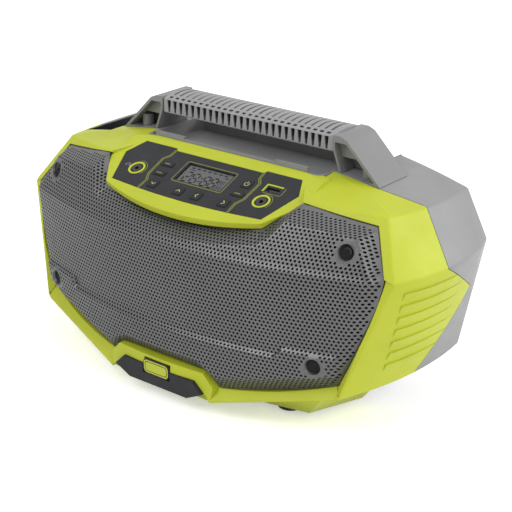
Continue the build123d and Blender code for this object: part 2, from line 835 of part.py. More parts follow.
with BuildPart() as housing:
    add(skin)
    for side in sides:
        add(foot_block(rear_block_low, rear_block_high, side))
    add(seam_rear, mode=Mode.SUBTRACT)
    add(inner_rear.part, mode=Mode.SUBTRACT)
    # The case screw tubes reach forward past the seam.
    for side in sides:
        for x, z, joint in case_screw_spots:
            add(rod_y(side * x, z, case_tube, (joint + seat_gap, 60.0)))
            head_y = joint + seat_gap + case_floor
            add(rod_y(side * x, z, case_well, (head_y, far / 2)), mode=Mode.SUBTRACT)
            hole = rod_y(side * x, z, case_screw_shank / 2 + 2 * seat_gap, (joint - 1, head_y + 1))
            add(hole, mode=Mode.SUBTRACT)
    add(battery_box(0), mode=Mode.SUBTRACT)
    add(inlet_space(seat_gap), mode=Mode.SUBTRACT)
    add(tray_space(2 * seat_gap), mode=Mode.SUBTRACT)
    add(bay_space(liner + liner_gap), mode=Mode.SUBTRACT)
    # Rails on both sides of the battery bay.
    for side in sides:
        span = sorted((side * (battery_half + 1), side * (battery_half - rail[0])))
        add(block(span, rail_y, centred(rail_z, rail[1])))
    # Posts for the two boards.
    post_x, post_z = main_board_posts
    for side in sides:
        for z in post_z:
            back = main_board_y + board_thickness + seat_gap
            add(rod_y(side * post_x, z, board_post, (back, battery_floor_y - battery_wall + 1)))
    margin = power_board_margin
    for x in (power_board_x[0] + margin, power_board_x[1] - margin):
        for z in (power_board_z[0] + margin, power_board_z[1] - margin):
            add(rod_to_wall(x, z, board_post, power_board_y + board_thickness + seat_gap))
    # Ventilation slots at the back.
    for x in vent_x:
        for row in range(vent_slots):
            z = vent_z + (row - (vent_slots - 1) / 2) * vent_pitch
            slot = block(centred(x, vent_slot[0]), (vent_start_y, far / 2), centred(z, vent_slot[1]))
            add(slot, mode=Mode.SUBTRACT)
    # Handle screws come up from inside.
    for side in sides:
        for y in handle_screw_y:
            hole = rod_z(side * handle_screw_x, y, handle_screw_shank / 2 + 2 * seat_gap, (tray_floor, far))
            add(hole, mode=Mode.SUBTRACT)
    for name, x, y in foot_spots[2:]:
        add(rod_z(x, y, foot_radius + seat_gap, (0, foot_plane + foot_sunk)), mode=Mode.SUBTRACT)
save(housing.part, "rear_housing")

# ------------------------------------------------------------------ device tray

with BuildPart() as tray:
    add(tray_space(0))
    extrude(crown_disc(0), amount=far, mode=Mode.INTERSECT)
    with BuildSketch(Plane.XY.offset(tray_floor)):
        with Locations((0, (tray_front + tray_back) / 2)):
            depth = tray_back - tray_front - 2 * tray_wall
            RectangleRounded(2 * (tray_half - tray_wall), depth, tray_corner - tray_wall)
    extrude(amount=60, mode=Mode.SUBTRACT)
    # Lip along the front: two raised stretches with a lower one between them.
    lip_y = (tray_front - 1, tray_front + tray_wall + 1)
    add(block((-lip_steps[0], lip_steps[0]), lip_y, (lip_low, far)), mode=Mode.SUBTRACT)
    for side in sides:
        span = sorted((side * lip_steps[0], side * lip_steps[1]))
        add(block(span, (tray_front, tray_front + tray_wall), (tray_floor + 5, lip_high)))
    # Small drain slots in the tray's floor, near the front.
    for x, y in tray_slots:
        slot_z = (tray_floor - tray_slot[2], tray_floor + 1)
        add(block(centred(x, tray_slot[0]), centred(y, tray_slot[1]), slot_z), mode=Mode.SUBTRACT)
    # Clips for the ferrite rod under the floor.
    for side in sides:
        clip_z = (ferrite_z - clip_drop, tray_floor - tray_wall + 0.5)
        add(block(centred(side * clip_x, clip_size[0]), centred(ferrite_y, clip_size[1]), clip_z))
    with BuildSketch(Plane.YZ.offset(-ferrite_length)):
        with Locations((ferrite_y, ferrite_z)):
            Circle(ferrite_radius + seat_gap)
    extrude(amount=2 * ferrite_length, mode=Mode.SUBTRACT)
save(tray.part, "device_tray")

# ------------------------------------------------------------------ handle and grip

foot_z = 172.0
bar_foot = bar_height - bar_half[1]
outer_arch = [(post_foot, foot_z), (post_foot, post_lip), post_shoulder, (post_shoulder[0] - 6, handle_top)]
inner_arch = [(post_inner_foot, foot_z), (post_inner_top, bar_foot)]


def on_line(first, second, height):
    """Distance from the middle of the point at a height on the line through two (x, z) points."""
    share = (height - first[1]) / (second[1] - first[1])
    return first[0] + (second[0] - first[0]) * share


def post_hollow(side, low, high):
    """Outline between the two walls of a post, from one height to another."""
    heights = [low, high] if high <= bar_foot or low >= bar_foot else [low, bar_foot, high]
    outer = [(on_line((post_foot, post_lip), post_shoulder, z) - post_wall, z) for z in heights]
    inner = [(max(on_line(*inner_arch, z), post_inner_top) + post_inner_wall, z) for z in heights]
    return [(side * x, z) for x, z in outer + inner[::-1]]


with BuildPart() as handle:
    add(side_prism(mirrored(outer_arch), (handle_front, handle_back)))
    corners = handle.edges().filter_by(Axis.Y)
    fillet(corners, radius=post_corner)
    # Narrow the top towards the bar, front and back.
    for y in ((-far, bar_y - bar_half[0]), (bar_y + bar_half[0], far)):
        add(block((-post_inner_top, post_inner_top), y, (foot_z, far)), mode=Mode.SUBTRACT)
    add(side_prism(mirrored(inner_arch), (-far / 2, far / 2)), mode=Mode.SUBTRACT)
    bar_top = bar_height + bar_half[1]
    add(block((-post_inner_top, post_inner_top), (-far / 2, far / 2), (bar_top, far)), mode=Mode.SUBTRACT)
    # Hollow posts, open at the front and the back, with a web between that is thicker at the top.
    for side in sides:
        lower = post_hollow(side, foot_z + post_floor_rise, post_step)
        upper = post_hollow(side, post_step - 0.01, post_ceiling)
        for y in ((-far / 2, post_web[0]), (post_web[1], far / 2)):
            add(side_prism(lower, y), mode=Mode.SUBTRACT)
        for y in ((-far / 2, post_pocket[0]), (post_pocket[1], far / 2)):
            add(side_prism(upper, y), mode=Mode.SUBTRACT)
        for y in handle_screw_y:
            add(rod_z(side * handle_screw_x, y, handle_boss / 2, (foot_z, handle_boss_top)))
            bore = handle_screw_shank / 2 + screw_fit
            add(rod_z(side * handle_screw_x, y, bore, (foot_z - 5, handle_bore_top)), mode=Mode.SUBTRACT)
    extrude(crown_disc(-seat_gap), amount=far, mode=Mode.SUBTRACT)
save(handle.part, "handle")

with BuildPart() as grip:
    with BuildSketch(Plane.YZ.offset(-grip_half_length)):
        with Locations((bar_y, grip_height)):
            RectangleRounded(*grip_section, grip_corner)
    extrude(amount=2 * grip_half_length)
    inside_y = centred(bar_y, 2 * (bar_half[0] + sleeve_fit))
    inside_z = centred(bar_height, 2 * (bar_half[1] + sleeve_fit))
    add(block((-far / 2, far / 2), inside_y, inside_z), mode=Mode.SUBTRACT)
    front = bar_y - grip_section[0] / 2
    back = bar_y + grip_section[0] / 2
    top = grip_height + grip_section[1] / 2
    for index in range(slot_count):
        x = centred((index - (slot_count - 1) / 2) * slot_pitch, slot_size[0])
        slot_z = centred(grip_height, slot_size[1])
        add(block(x, (front - 1, front + slot_size[2]), slot_z), mode=Mode.SUBTRACT)
        add(block(x, (back - slot_size[2], back + 1), slot_z), mode=Mode.SUBTRACT)
        groove_y = centred(bar_y, groove_size[1])
        add(block(x, groove_y, (top - groove_size[2], top + 1)), mode=Mode.SUBTRACT)
save(grip.part, "grip_sleeve")

# ------------------------------------------------------------------ grille


def drawn_space(nose, fall):
    """Everything behind a curved sheet that folds at the step height."""
    low_fall, high_fall = fall
    with BuildSketch(Plane.XY.offset(grille_step)) as plan:
        with BuildLine():
            edge = nose + grille_curve
            ThreePointArc((-grille_reach, edge), (0, nose), (grille_reach, edge))
            Polyline([(grille_reach, edge), (grille_reach, 120), (-grille_reach, 120), (-grille_reach, edge)])
        make_face()
    with BuildPart() as space:
        extrude(plan.sketch, amount=150, dir=(0, -low_fall, -1))
        extrude(plan.sketch, amount=90, dir=(0, high_fall, 1))
    return space.part


def lean_cutter(first, second, lean):
    """Space in front of a bevel that leans back from an edge of the raised field."""
    start = Vector(first[0], field_depth(*first), first[1])
    end = Vector(second[0], field_depth(*second), second[1])
    along = (end - start).normalized()
    outward = Vector(-(end.Z - start.Z), 0, end.X - start.X).normalized()
    slant = (outward + Vector(0, lean, 0)).normalized()
    normal = along.cross(slant).normalized()
    if normal.Y > 0:
        normal = normal * -1
    with BuildPart() as cutter:
        with BuildSketch(Plane(origin=start, x_dir=along, z_dir=normal)):
            Rectangle(2 * far, 2 * far)
        extrude(amount=far / 2)
    return cutter.part


def chain_cutter(points, lean):
    """Space in front of a row of bevels round an inward corner of the field."""
    with BuildPart() as cutter:
        add(lean_cutter(points[0], points[1], lean))
        for first, second in zip(points[1:], points[2:]):
            add(lean_cutter(first, second, lean), mode=Mode.INTERSECT)
    return cutter.part


with BuildPart() as front_side:
    add(drawn_space(field_nose, field_fall))
    # Bevels along the outside of the field, clockwise on the right and mirrored on the left.
    for (first, second), lean in zip(zip(field_top, field_top[1:]), field_lean):
        add(lean_cutter(first, second, lean), mode=Mode.SUBTRACT)
        add(lean_cutter((-second[0], second[1]), (-first[0], first[1]), lean), mode=Mode.SUBTRACT)
    # Inward corners: under the control panel and over the badge notch.
    left = [(-x, z) for x, z in reversed(field_land[1:])]
    add(chain_cutter(left + field_land, field_land_lean), mode=Mode.SUBTRACT)
    foot = field_top[-1]
    notch_chain = [foot, field_notch, (-field_notch[0], field_notch[1]), (-foot[0], foot[1])]
    add(chain_cutter(notch_chain, 1.0), mode=Mode.SUBTRACT)
    add(drawn_space(rim_nose, rim_fall))

with BuildPart() as opening_prism:
    extrude(opening_outline(grille_clearance), amount=-far / 4 + 12)

with BuildPart() as grille:
    add(front_side.part)
    add(front_side.part.moved(Location((0, grille_sheet, 0))), mode=Mode.SUBTRACT)
    add(opening_prism.part, mode=Mode.INTERSECT)
    for side in sides:
        for x, z in screw_spots:
            floor = field_depth(x, z) + cup_depth
            add(rod_y(side * x, z, cup_bore / 2 + cup_wall, (floor - cup_depth - 1, floor + cup_wall)))
            add(rod_y(side * x, z, cup_bore / 2, (-far / 2, floor)), mode=Mode.SUBTRACT)
            shank = grille_screw_shank / 2 + seat_gap
            add(rod_y(side * x, z, shank, (floor - 1, floor + cup_wall + 1)), mode=Mode.SUBTRACT)
save(grille.part, "grille")

# ------------------------------------------------------------------ badge plate and control panel

with BuildPart() as plate:
    outline = [(notch_top_half - seat_gap, notch_top - seat_gap), plate_wide, plate_bottom]
    add(side_prism(mirrored(outline), (plate_front_y, notch_floor_y - seat_gap)))
    seat_x = (pad_span_x[0] - 2 * seat_gap, pad_span_x[1] + 2 * seat_gap)
    add(block(seat_x, (-far / 2, 0), (pad_span_z[0] - 2 * seat_gap, far)), mode=Mode.SUBTRACT)
    chamfer(plate.faces().sort_by(Axis.Y)[0].edges(), length=0.6)
save(plate.part, "trim_plate")

with BuildPart() as pad:
    add(block(pad_span_x, (pad_front_y, pad_back_y), pad_span_z))
    fillet(pad.edges().filter_by(Axis.Y), radius=pad_corner)
    fillet(pad.faces().sort_by(Axis.Y)[0].edges(), radius=0.8)
save(pad.part, "trim_pad")


def key_outline(key, grow):
    """Outline of a key on the panel."""
    width, height = key.size
    with BuildSketch(panel) as sketch:
        with Locations((key.x, key.v)):
            RectangleRounded(width + 2 * grow, height + 2 * grow, key_corner + grow)
    return sketch.sketch


with BuildPart() as fascia:
    extrude(fascia_outline(seat_gap), amount=-fascia_thickness)
    for key in keys:
        extrude(key_outline(key, key_gap), amount=-fascia_thickness, mode=Mode.SUBTRACT)
    lens_x = centred(lens_centre[0], lens_size[0] + 2 * seat_gap)
    lens_v = centred(lens_centre[1], lens_size[1] + 2 * seat_gap)
    depth = (-fascia_thickness - 1, 1)
    add(panel_block(lens_x, lens_v, depth), mode=Mode.SUBTRACT)
    for side in sides:
        add(panel_rod(side * jack_x, jack_v, jack_barrel / 2 + seat_gap, depth), mode=Mode.SUBTRACT)
        groove_depth = (-jack_ring_sunk - seat_gap, 1)
        add(panel_rod(side * jack_x, jack_v, jack_ring_radii[1] + seat_gap, groove_depth), mode=Mode.SUBTRACT)
    usb_x = centred(usb_centre[0], usb_opening[0] + 2 * usb_shell + 2 * seat_gap)
    usb_v = centred(usb_centre[1], usb_opening[1] + 2 * usb_shell + 2 * seat_gap)
    add(panel_block(usb_x, usb_v, depth), mode=Mode.SUBTRACT)
save(fascia.part, "control_fascia")

with BuildPart() as lens:
    lens_x = centred(lens_centre[0], lens_size[0])
    lens_v = centred(lens_centre[1], lens_size[1])
    add(panel_block(lens_x, lens_v, (-lens_thickness - seat_gap, -seat_gap)))
save(lens.part, "display_lens")

display_top = -lens_thickness - 2 * seat_gap
board_top = -land_thickness - seat_gap
with BuildPart() as display:
    across = centred(lens_centre[0], display_size[0])
    up = centred(lens_centre[1], display_size[1])
    add(panel_block(across, up, (display_top - display_thickness, display_top)))
    holder_x = centred(lens_centre[0], display_size[0] - 6)
    holder_v = centred(lens_centre[1], display_size[1] - 4)
    add(panel_block(holder_x, holder_v, (board_top + seat_gap, display_top - display_thickness)))
save(display.part, "display_module")

flange_top = -fascia_thickness - key_flange_gap
for key in keys:
    with BuildPart() as cap:
        extrude(key_outline(key, 0), amount=key_proud)
        extrude(key_outline(key, 0), amount=flange_top - 0.1)
        flange_face = key_outline(key, key_flange).moved(Location(Vector(*panel_normal) * flange_top))
        extrude(flange_face, amount=-key_flange_thickness)
        top_edges = cap.faces().sort_by(Axis(panel_origin, panel_normal))[-1].edges()
        fillet(top_edges, radius=key_round)
    save(cap.part, key.name)

mat_base = board_top + seat_gap
pad_top = flange_top - key_flange_thickness - key_travel - key_pad_gap
with BuildPart() as key_mat:
    mat_v = (window_v[0] + 1, window_v[1] - 1)
    add(panel_block((-window_half + 1, window_half - 1), mat_v, (mat_base, mat_base + mat_thickness)))
    for key in keys:
        width, height = key.size
        pad_depth = (mat_base + mat_thickness / 2, pad_top)
        add(panel_block(centred(key.x, width), centred(key.v, height), pad_depth))
    hole_x = centred(lens_centre[0], display_size[0])
    hole_v = centred(lens_centre[1], display_size[1])
    add(panel_block(hole_x, hole_v, (mat_base - 1, 0)), mode=Mode.SUBTRACT)
save(key_mat.part, "key_mat")

with BuildPart() as board:
    across = (-board_half, board_half)
    add(panel_block(across, board_v, (board_top - board_thickness, board_top)))
    # A connector and a row of small chips under the board.
    under = board_top - board_thickness
    for x in chip_x:
        chip_depth = (under - chip_size[2], under)
        add(panel_block(centred(x, chip_size[0]), centred(chip_v, chip_size[1]), chip_depth))
save(board.part, "control_board")

for side, name in ((-1, "headphone"), (1, "audio_in")):
    with BuildPart() as socket:
        add(panel_rod(side * jack_x, jack_v, jack_barrel / 2, (board_top - 1, seat_gap)))
        across = centred(side * jack_x, jack_body[0])
        up = centred(jack_v, jack_body[1])
        add(panel_block(across, up, (board_top - jack_body[2], board_top)))
        add(panel_rod(side * jack_x, jack_v, jack_bore / 2, (seat_gap - jack_depth, 1)), mode=Mode.SUBTRACT)
    save(socket.part, f"{name}_jack")
    with BuildPart() as ring:
        inner, outer = jack_ring_radii
        add(panel_rod(side * jack_x, jack_v, outer, (-jack_ring_sunk, jack_ring_proud)))
        add(panel_rod(side * jack_x, jack_v, inner, (-jack_ring_sunk - 1, 1)), mode=Mode.SUBTRACT)
        crest = ring.faces().sort_by(Axis(panel_origin, panel_normal))[-1].edges()
        fillet(crest, radius=0.35)
    save(ring.part, f"{name}_ring")

with BuildPart() as usb:
    shell_x = centred(usb_centre[0], usb_opening[0] + 2 * usb_shell)
    shell_v = centred(usb_centre[1], usb_opening[1] + 2 * usb_shell)
    add(panel_block(shell_x, shell_v, (-usb_depth, -seat_gap)))
    hole_x = centred(usb_centre[0], usb_opening[0])
    hole_v = centred(usb_centre[1], usb_opening[1])
    add(panel_block(hole_x, hole_v, (-usb_depth + 1.2, 1)), mode=Mode.SUBTRACT)
    tongue_x = centred(usb_centre[0], usb_tongue[0])
    tongue_v = centred(usb_centre[1] + usb_tongue_lift, usb_tongue[1])
    add(panel_block(tongue_x, tongue_v, (-usb_depth + 0.6, -2.0)))
save(usb.part, "usb_port")

# ------------------------------------------------------------------ baffle and drivers


def turned(points):
    """Solid turned about the Y axis from a closed outline given as (radius, y)."""
    with BuildPart() as solid:
        with BuildSketch():
            with BuildLine():
                Polyline(points, close=True)
            make_face()
        revolve(axis=Axis.Y)
    return solid.part


baffle_back = baffle_front + baffle_thickness
with BuildPart() as baffle:
    add(side_prism(mirrored([(0.01, baffle_top)] + baffle_points), (baffle_front, baffle_back)))
    for side in sides:
        x, z = screw_spots[0]
        add(rod_y(side * x, z, baffle_tab, (baffle_front, baffle_back)))
        hole = rod_y(side * x, z, grille_screw_shank / 2 + seat_gap, (baffle_front - 1, baffle_back + 1))
        add(hole, mode=Mode.SUBTRACT)
        x, z = screw_spots[1]
        pillar_front = field_depth(x, z) + cup_depth + cup_wall + seat_gap
        add(rod_y(side * x, z, case_well, (pillar_front, baffle_front + 1)))
        shank_end = pillar_front - cup_wall - seat_gap + grille_screw_length
        hole = rod_y(side * x, z, grille_screw_shank / 2 + screw_fit, (pillar_front - 1, shank_end + 1))
        add(hole, mode=Mode.SUBTRACT)
        hole = rod_y(side * driver_x, driver_z, driver_hole, (baffle_front - 1, baffle_back + 1))
        add(hole, mode=Mode.SUBTRACT)
        for turn in range(4):
            angle = radians(45 + 90 * turn)
            x = side * driver_x + driver_screw_circle * cos(angle)
            z = driver_z + driver_screw_circle * sin(angle)
            hole = rod_y(x, z, driver_screw_shank / 2 + screw_fit, (baffle_front - 1, baffle_back + 1))
            add(hole, mode=Mode.SUBTRACT)
save(baffle.part, "speaker_baffle")


def dome_arc(radius, top, edge):
    """Start, middle and end of a round dome's profile, from the axis to its edge."""
    rise = edge - top
    ball = (radius ** 2 + rise ** 2) / (2 * rise)
    half = asin(radius / ball) / 2
    return (0, top), (ball * sin(half), top + ball * (1 - cos(half))), (radius, edge)


gasket_front = baffle_front - seat_gap / 2 - gasket_thickness
plate_back = gasket_front - seat_gap / 2
plate_front = plate_back - driver_plate
roll_in, roll_out, roll_flat = surround_radii
roll_y = plate_front - seat_gap / 2

for side, name in ((-1, "left"), (1, "right")):
    place = Location((side * driver_x, 0, driver_z))
    with BuildPart() as gasket:
        gasket_back = gasket_front + gasket_thickness
        ring = [(driver_hole + 0.5, gasket_front), (driver_radius, gasket_front),
                (driver_radius, gasket_back), (driver_hole + 0.5, gasket_back)]
        add(turned(ring))
        for turn in range(4):
            angle = radians(45 + 90 * turn)
            x, z = driver_screw_circle * cos(angle), driver_screw_circle * sin(angle)
            add(rod_y(x, z, driver_screw_shank / 2 + seat_gap, (-far, far)), mode=Mode.SUBTRACT)
    save(gasket.part.moved(place), f"{name}_gasket")
    with BuildPart() as basket:
        throat = roll_out
        back = plate_front + basket_depth
        shell = [(driver_radius, plate_front), (driver_radius, plate_back), (throat, plate_back),
                 (basket_neck + basket_wall, back - 4), (basket_neck + basket_wall, back),
                 (cone_neck + 2, back), (cone_neck + 2, back - basket_wall),
                 (basket_neck, back - basket_wall), (basket_neck, back - 4),
                 (throat - basket_wall, plate_back), (throat - basket_wall, plate_front)]
        add(turned(shell))
        for turn in range(basket_windows):
            angle = 360 / basket_windows * turn
            with BuildSketch(Plane.XZ.offset(-(back - 7))):
                with PolarLocations((basket_neck + throat) / 2, 1, start_angle=angle):
                    Rectangle(40, basket_window)
            extrude(amount=basket_depth - 13, mode=Mode.SUBTRACT)
        for turn in range(4):
            angle = radians(45 + 90 * turn)
            x, z = driver_screw_circle * cos(angle), driver_screw_circle * sin(angle)
            add(rod_y(x, z, driver_screw_shank / 2 + seat_gap, (-far, far)), mode=Mode.SUBTRACT)
    save(basket.part.moved(place), f"{name}_basket")
    with BuildPart() as magnet:
        start = plate_front + basket_depth + seat_gap
        end = start + magnet_thickness
        pole_radius = magnet_radius - pole_plate
        add(turned([(0, start), (pole_radius, start), (pole_radius, start + pole_plate),
                    (magnet_radius, start + pole_plate), (magnet_radius, end - pole_plate),
                    (pole_radius, end - pole_plate), (pole_radius, end), (0, end)]))
    save(magnet.part.moved(place), f"{name}_magnet")
    with BuildPart() as surround:
        middle = (roll_in + roll_out) / 2
        half = (roll_out - roll_in) / 2
        with BuildSketch():
            with BuildLine():
                Polyline([(roll_in - 2, roll_y - surround_sheet), (roll_in, roll_y - surround_sheet)])
                ThreePointArc((roll_in, roll_y - surround_sheet), (middle, roll_y - surround_roll),
                              (roll_out, roll_y - surround_sheet))
                Polyline([(roll_out, roll_y - surround_sheet), (roll_flat, roll_y - surround_sheet),
                          (roll_flat, roll_y), (roll_out - surround_sheet, roll_y)])
                ThreePointArc((roll_out - surround_sheet, roll_y),
                              (middle, roll_y - surround_roll + surround_sheet),
                              (roll_in + surround_sheet, roll_y))
                Polyline([(roll_in + surround_sheet, roll_y), (roll_in - 2, roll_y),
                          (roll_in - 2, roll_y - surround_sheet)])
            make_face()
        revolve(axis=Axis.Y)
    save(surround.part.moved(place), f"{name}_surround")
    with BuildPart() as cone:
        rim_y = roll_y + seat_gap / 2
        neck_y = rim_y + cone_rise
        rim_radius = roll_in - 3.5
        fall = cone_rise / (rim_radius - cone_neck)
        cap_y = rim_y + fall * (rim_radius - cap_radius)
        under_radius = cap_radius - 0.8
        under_y = rim_y + fall * (rim_radius - under_radius)
        with BuildSketch():
            with BuildLine():
                ThreePointArc(*dome_arc(cap_radius, cap_y - cap_rise, cap_y))
                Polyline([(cap_radius, cap_y), (rim_radius, rim_y), (roll_in - 0.3, rim_y),
                          (roll_in - 0.3, rim_y + cone_sheet), (cone_neck + 1, neck_y + cone_sheet),
                          (cone_neck + 1, neck_y + 5), (cone_neck, neck_y + 5), (cone_neck, neck_y),
                          (under_radius, under_y)])
                ThreePointArc(*dome_arc(under_radius, cap_y - cap_rise + cone_sheet, under_y))
                Line((0, cap_y - cap_rise + cone_sheet), (0, cap_y - cap_rise))
            make_face()
        revolve(axis=Axis.Y)
    save(cone.part.moved(place), f"{name}_cone")


def driver_screw():
    """Pan-head screw along Y, head underside at y = 0, shank towards +Y."""
    head = driver_screw_head / 2
    shank = driver_screw_shank / 2
    length = driver_screw_length
    return turned([(0, -1.4), (head - 0.8, -1.4), (head, -0.5), (head, 0), (shank, 0),
                   (shank, length), (0, length)])


with BuildPart() as driver_screws:
    for side in sides:
        for turn in range(4):
            angle = radians(45 + 90 * turn)
            x = side * driver_x + driver_screw_circle * cos(angle)
            z = driver_z + driver_screw_circle * sin(angle)
            add(driver_screw().moved(Location((x, plate_front, z))))
save(driver_screws.part, "driver_screws")

with BuildPart() as grille_screws:
    for side in sides:
        for x, z in screw_spots:
            seat = field_depth(x, z) + cup_depth - seat_gap / 3
            add(rod_y(side * x, z, grille_screw_head / 2, (seat - grille_screw_cap, seat)))
            add(rod_y(side * x, z, grille_screw_shank / 2, (seat - 0.5, seat + grille_screw_length)))
            with BuildSketch(Plane.XZ.offset(-(seat - 1.0))):
                with Locations((side * x, z)):
                    RegularPolygon(socket_width / 2, 6, major_radius=False)
            extrude(amount=grille_screw_cap, mode=Mode.SUBTRACT)
save(grille_screws.part, "grille_screws")

# ------------------------------------------------------------------ boards inside

with BuildPart() as main_board:
    board_back = main_board_y + board_thickness
    add(block((-main_board_half, main_board_half), (main_board_y, board_back), main_board_z))
    for x, z, size in board_parts:
        add(block(centred(x, size[0]), (main_board_y - size[1], main_board_y), centred(z, size[2])))
save(main_board.part, "main_board")

with BuildPart() as heat_sink:
    start = main_board_y + board_thickness + seat_gap
    add(block((-heat_sink_half, heat_sink_half), (start, start + 3), heat_sink_z))
    for index in range(fin_count):
        fin_pitch = (2 * heat_sink_half - fin_thickness) / (fin_count - 1)
        x = -heat_sink_half + fin_thickness / 2 + index * fin_pitch
        add(block(centred(x, fin_thickness), (start + 2, start + heat_sink_depth), heat_sink_z))
save(heat_sink.part, "heat_sink")

with BuildPart() as power_board:
    add(block(power_board_x, (power_board_y, power_board_y + board_thickness), power_board_z))
    for z in capacitor_z:
        add(rod_y(capacitor_x, z, capacitor_radius, (power_board_y - capacitor_height, power_board_y)))
    add(block(cooler_x, (power_board_y - cooler_height, power_board_y), cooler_z))
save(power_board.part, "power_board")

with BuildPart() as transformer:
    back = power_board_y - seat_gap
    add(block(transformer_x, (back - transformer_depth, back), transformer_z))
    winding_x = centred(sum(transformer_x) / 2, winding_size[0])
    winding_z = centred(sum(transformer_z) / 2, winding_size[1])
    add(block(winding_x, (back - transformer_depth - winding_proud, back), winding_z))
save(transformer.part, "transformer")

with BuildPart() as ferrite:
    with BuildSketch(Plane.YZ.offset(-ferrite_length / 2)):
        with Locations((ferrite_y, ferrite_z)):
            Circle(ferrite_radius)
    extrude(amount=ferrite_length)
    for side in sides:
        with BuildSketch(Plane.YZ.offset(side * coil_x - coil_length / 2)):
            with Locations((ferrite_y, ferrite_z)):
                Circle(ferrite_radius + coil_wire)
        extrude(amount=coil_length)
save(ferrite.part, "ferrite_rod")

# ------------------------------------------------------------------ battery terminals and mains inlet

with BuildPart() as terminal:
    width, depth, height = terminal_block
    start = battery_floor_y + seat_gap
    add(block(centred(0, width), (start, start + depth), centred(terminal_z, height)))
    for index in range(blade_count):
        x = (index - (blade_count - 1) / 2) * blade_pitch
        slot_x = centred(x, blade[0] + 2 * seat_gap)
        slot_z = centred(terminal_z, blade[2] + 2 * seat_gap)
        add(block(slot_x, (start + 2, start + depth + 1), slot_z), mode=Mode.SUBTRACT)
save(terminal.part, "terminal_block")

with BuildPart() as blades:
    for index in range(blade_count):
        x = (index - (blade_count - 1) / 2) * blade_pitch
        base = battery_floor_y + seat_gap + 2 + seat_gap
        tip = base + terminal_block[1] - 2 + blade[1]
        add(block(centred(x, blade[0]), (base, tip), centred(terminal_z, blade[2])))
save(blades.part, "contact_blades")

with BuildPart() as inlet:
    back = inlet_face_y - inlet_body[1]
    add(block(centred(inlet_x, inlet_body[0]), (back, inlet_face_y), centred(inlet_z, inlet_body[2])))
    for side in sides:
        x = inlet_x + side * inlet_pin_pitch / 2
        well = rod_y(x, inlet_z, inlet_recess_radius, (inlet_face_y - inlet_recess_depth, inlet_face_y + 1))
        add(well, mode=Mode.SUBTRACT)
        add(rod_y(x, inlet_z, inlet_pin_radius + screw_fit, (back + 2, inlet_face_y)), mode=Mode.SUBTRACT)
    web_y = (inlet_face_y - inlet_recess_depth, inlet_face_y + 1)
    web = block(centred(inlet_x, inlet_pin_pitch), web_y, centred(inlet_z, inlet_web))
    add(web, mode=Mode.SUBTRACT)
save(inlet.part, "mains_inlet")

with BuildPart() as inlet_pins:
    for side in sides:
        x = inlet_x + side * inlet_pin_pitch / 2
        start = inlet_face_y - inlet_body[1] + 2 + seat_gap
        add(rod_y(x, inlet_z, inlet_pin_radius, (start, inlet_face_y - inlet_pin_sunk)))
save(inlet_pins.part, "inlet_pins")

# ------------------------------------------------------------------ screws and feet

with BuildPart() as case_screws:
    for side in sides:
        for x, z, joint in case_screw_spots:
            seat = joint + seat_gap + case_floor + seat_gap / 3
            add(rod_y(side * x, z, case_screw_head / 2, (seat, seat + case_screw_cap)))
            add(rod_y(side * x, z, case_screw_shank / 2, (seat - case_screw_length, seat + 0.5)))
            with BuildSketch(Plane.XZ.offset(-(seat + case_screw_cap + 1))):
                with Locations((side * x, z)):
                    RegularPolygon(socket_width / 2, 6, major_radius=False)
            extrude(amount=2.6, mode=Mode.SUBTRACT)
save(case_screws.part, "case_screws")

with BuildPart() as handle_screws:
    for side in sides:
        for y in handle_screw_y:
            x = side * handle_screw_x
            drop = 0.5 * (handle_screw_x + handle_screw_head / 2) ** 2 / crown_radius
            under = crown_height - drop - wall - 0.4
            add(rod_z(x, y, handle_screw_head / 2, (under - handle_screw_cap, under)))
            tip = under + handle_screw_length - handle_screw_cap
            add(rod_z(x, y, handle_screw_shank / 2, (under - 0.5, tip)))
save(handle_screws.part, "handle_screws")

for name, x, y in foot_spots:
    with BuildPart() as rubber:
        add(rod_z(x, y, foot_radius, (0, foot_plane + foot_sunk - seat_gap)))
        fillet(rubber.faces().sort_by(Axis.Z)[0].edges(), radius=1.2)
    save(rubber.part, name)

# ------------------------------------------------------------------ shoulder liner and aerial

with BuildPart() as bay_liner:
    add(bay_space(liner))
    add(bay_space(0), mode=Mode.SUBTRACT)
    add(body_form(liner_inset), mode=Mode.INTERSECT)
    tube = aerial_radii[0] + aerial_fit + aerial_sleeve_wall + seat_gap
    add(rod_z(aerial_x, aerial_y, tube, (bay_floor - 5, bay_floor + 5)), mode=Mode.SUBTRACT)
    for row in range(liner_ribs):
        y = bay_y[0] + liner_rib_start + row * liner_rib_pitch
        rib_z = (bay_floor - 0.5, bay_floor + liner_rib[1])
        add(block((bay_x[0] + 1, bay_x[1] - 1), centred(y, liner_rib[0]), rib_z))
save(bay_liner.part, "shoulder_liner")

with BuildPart() as sleeve:
    bore = aerial_radii[0] + aerial_fit
    sleeve_top = bay_floor + aerial_step
    aerial_bottom = sleeve_top - aerial_travel - aerial_overlap
    add(rod_z(aerial_x, aerial_y, bore + aerial_sleeve_wall, (aerial_bottom - 2, sleeve_top)))
    add(rod_z(aerial_x, aerial_y, bore, (aerial_bottom, sleeve_top + 1)), mode=Mode.SUBTRACT)
save(sleeve.part, "aerial_sleeve")

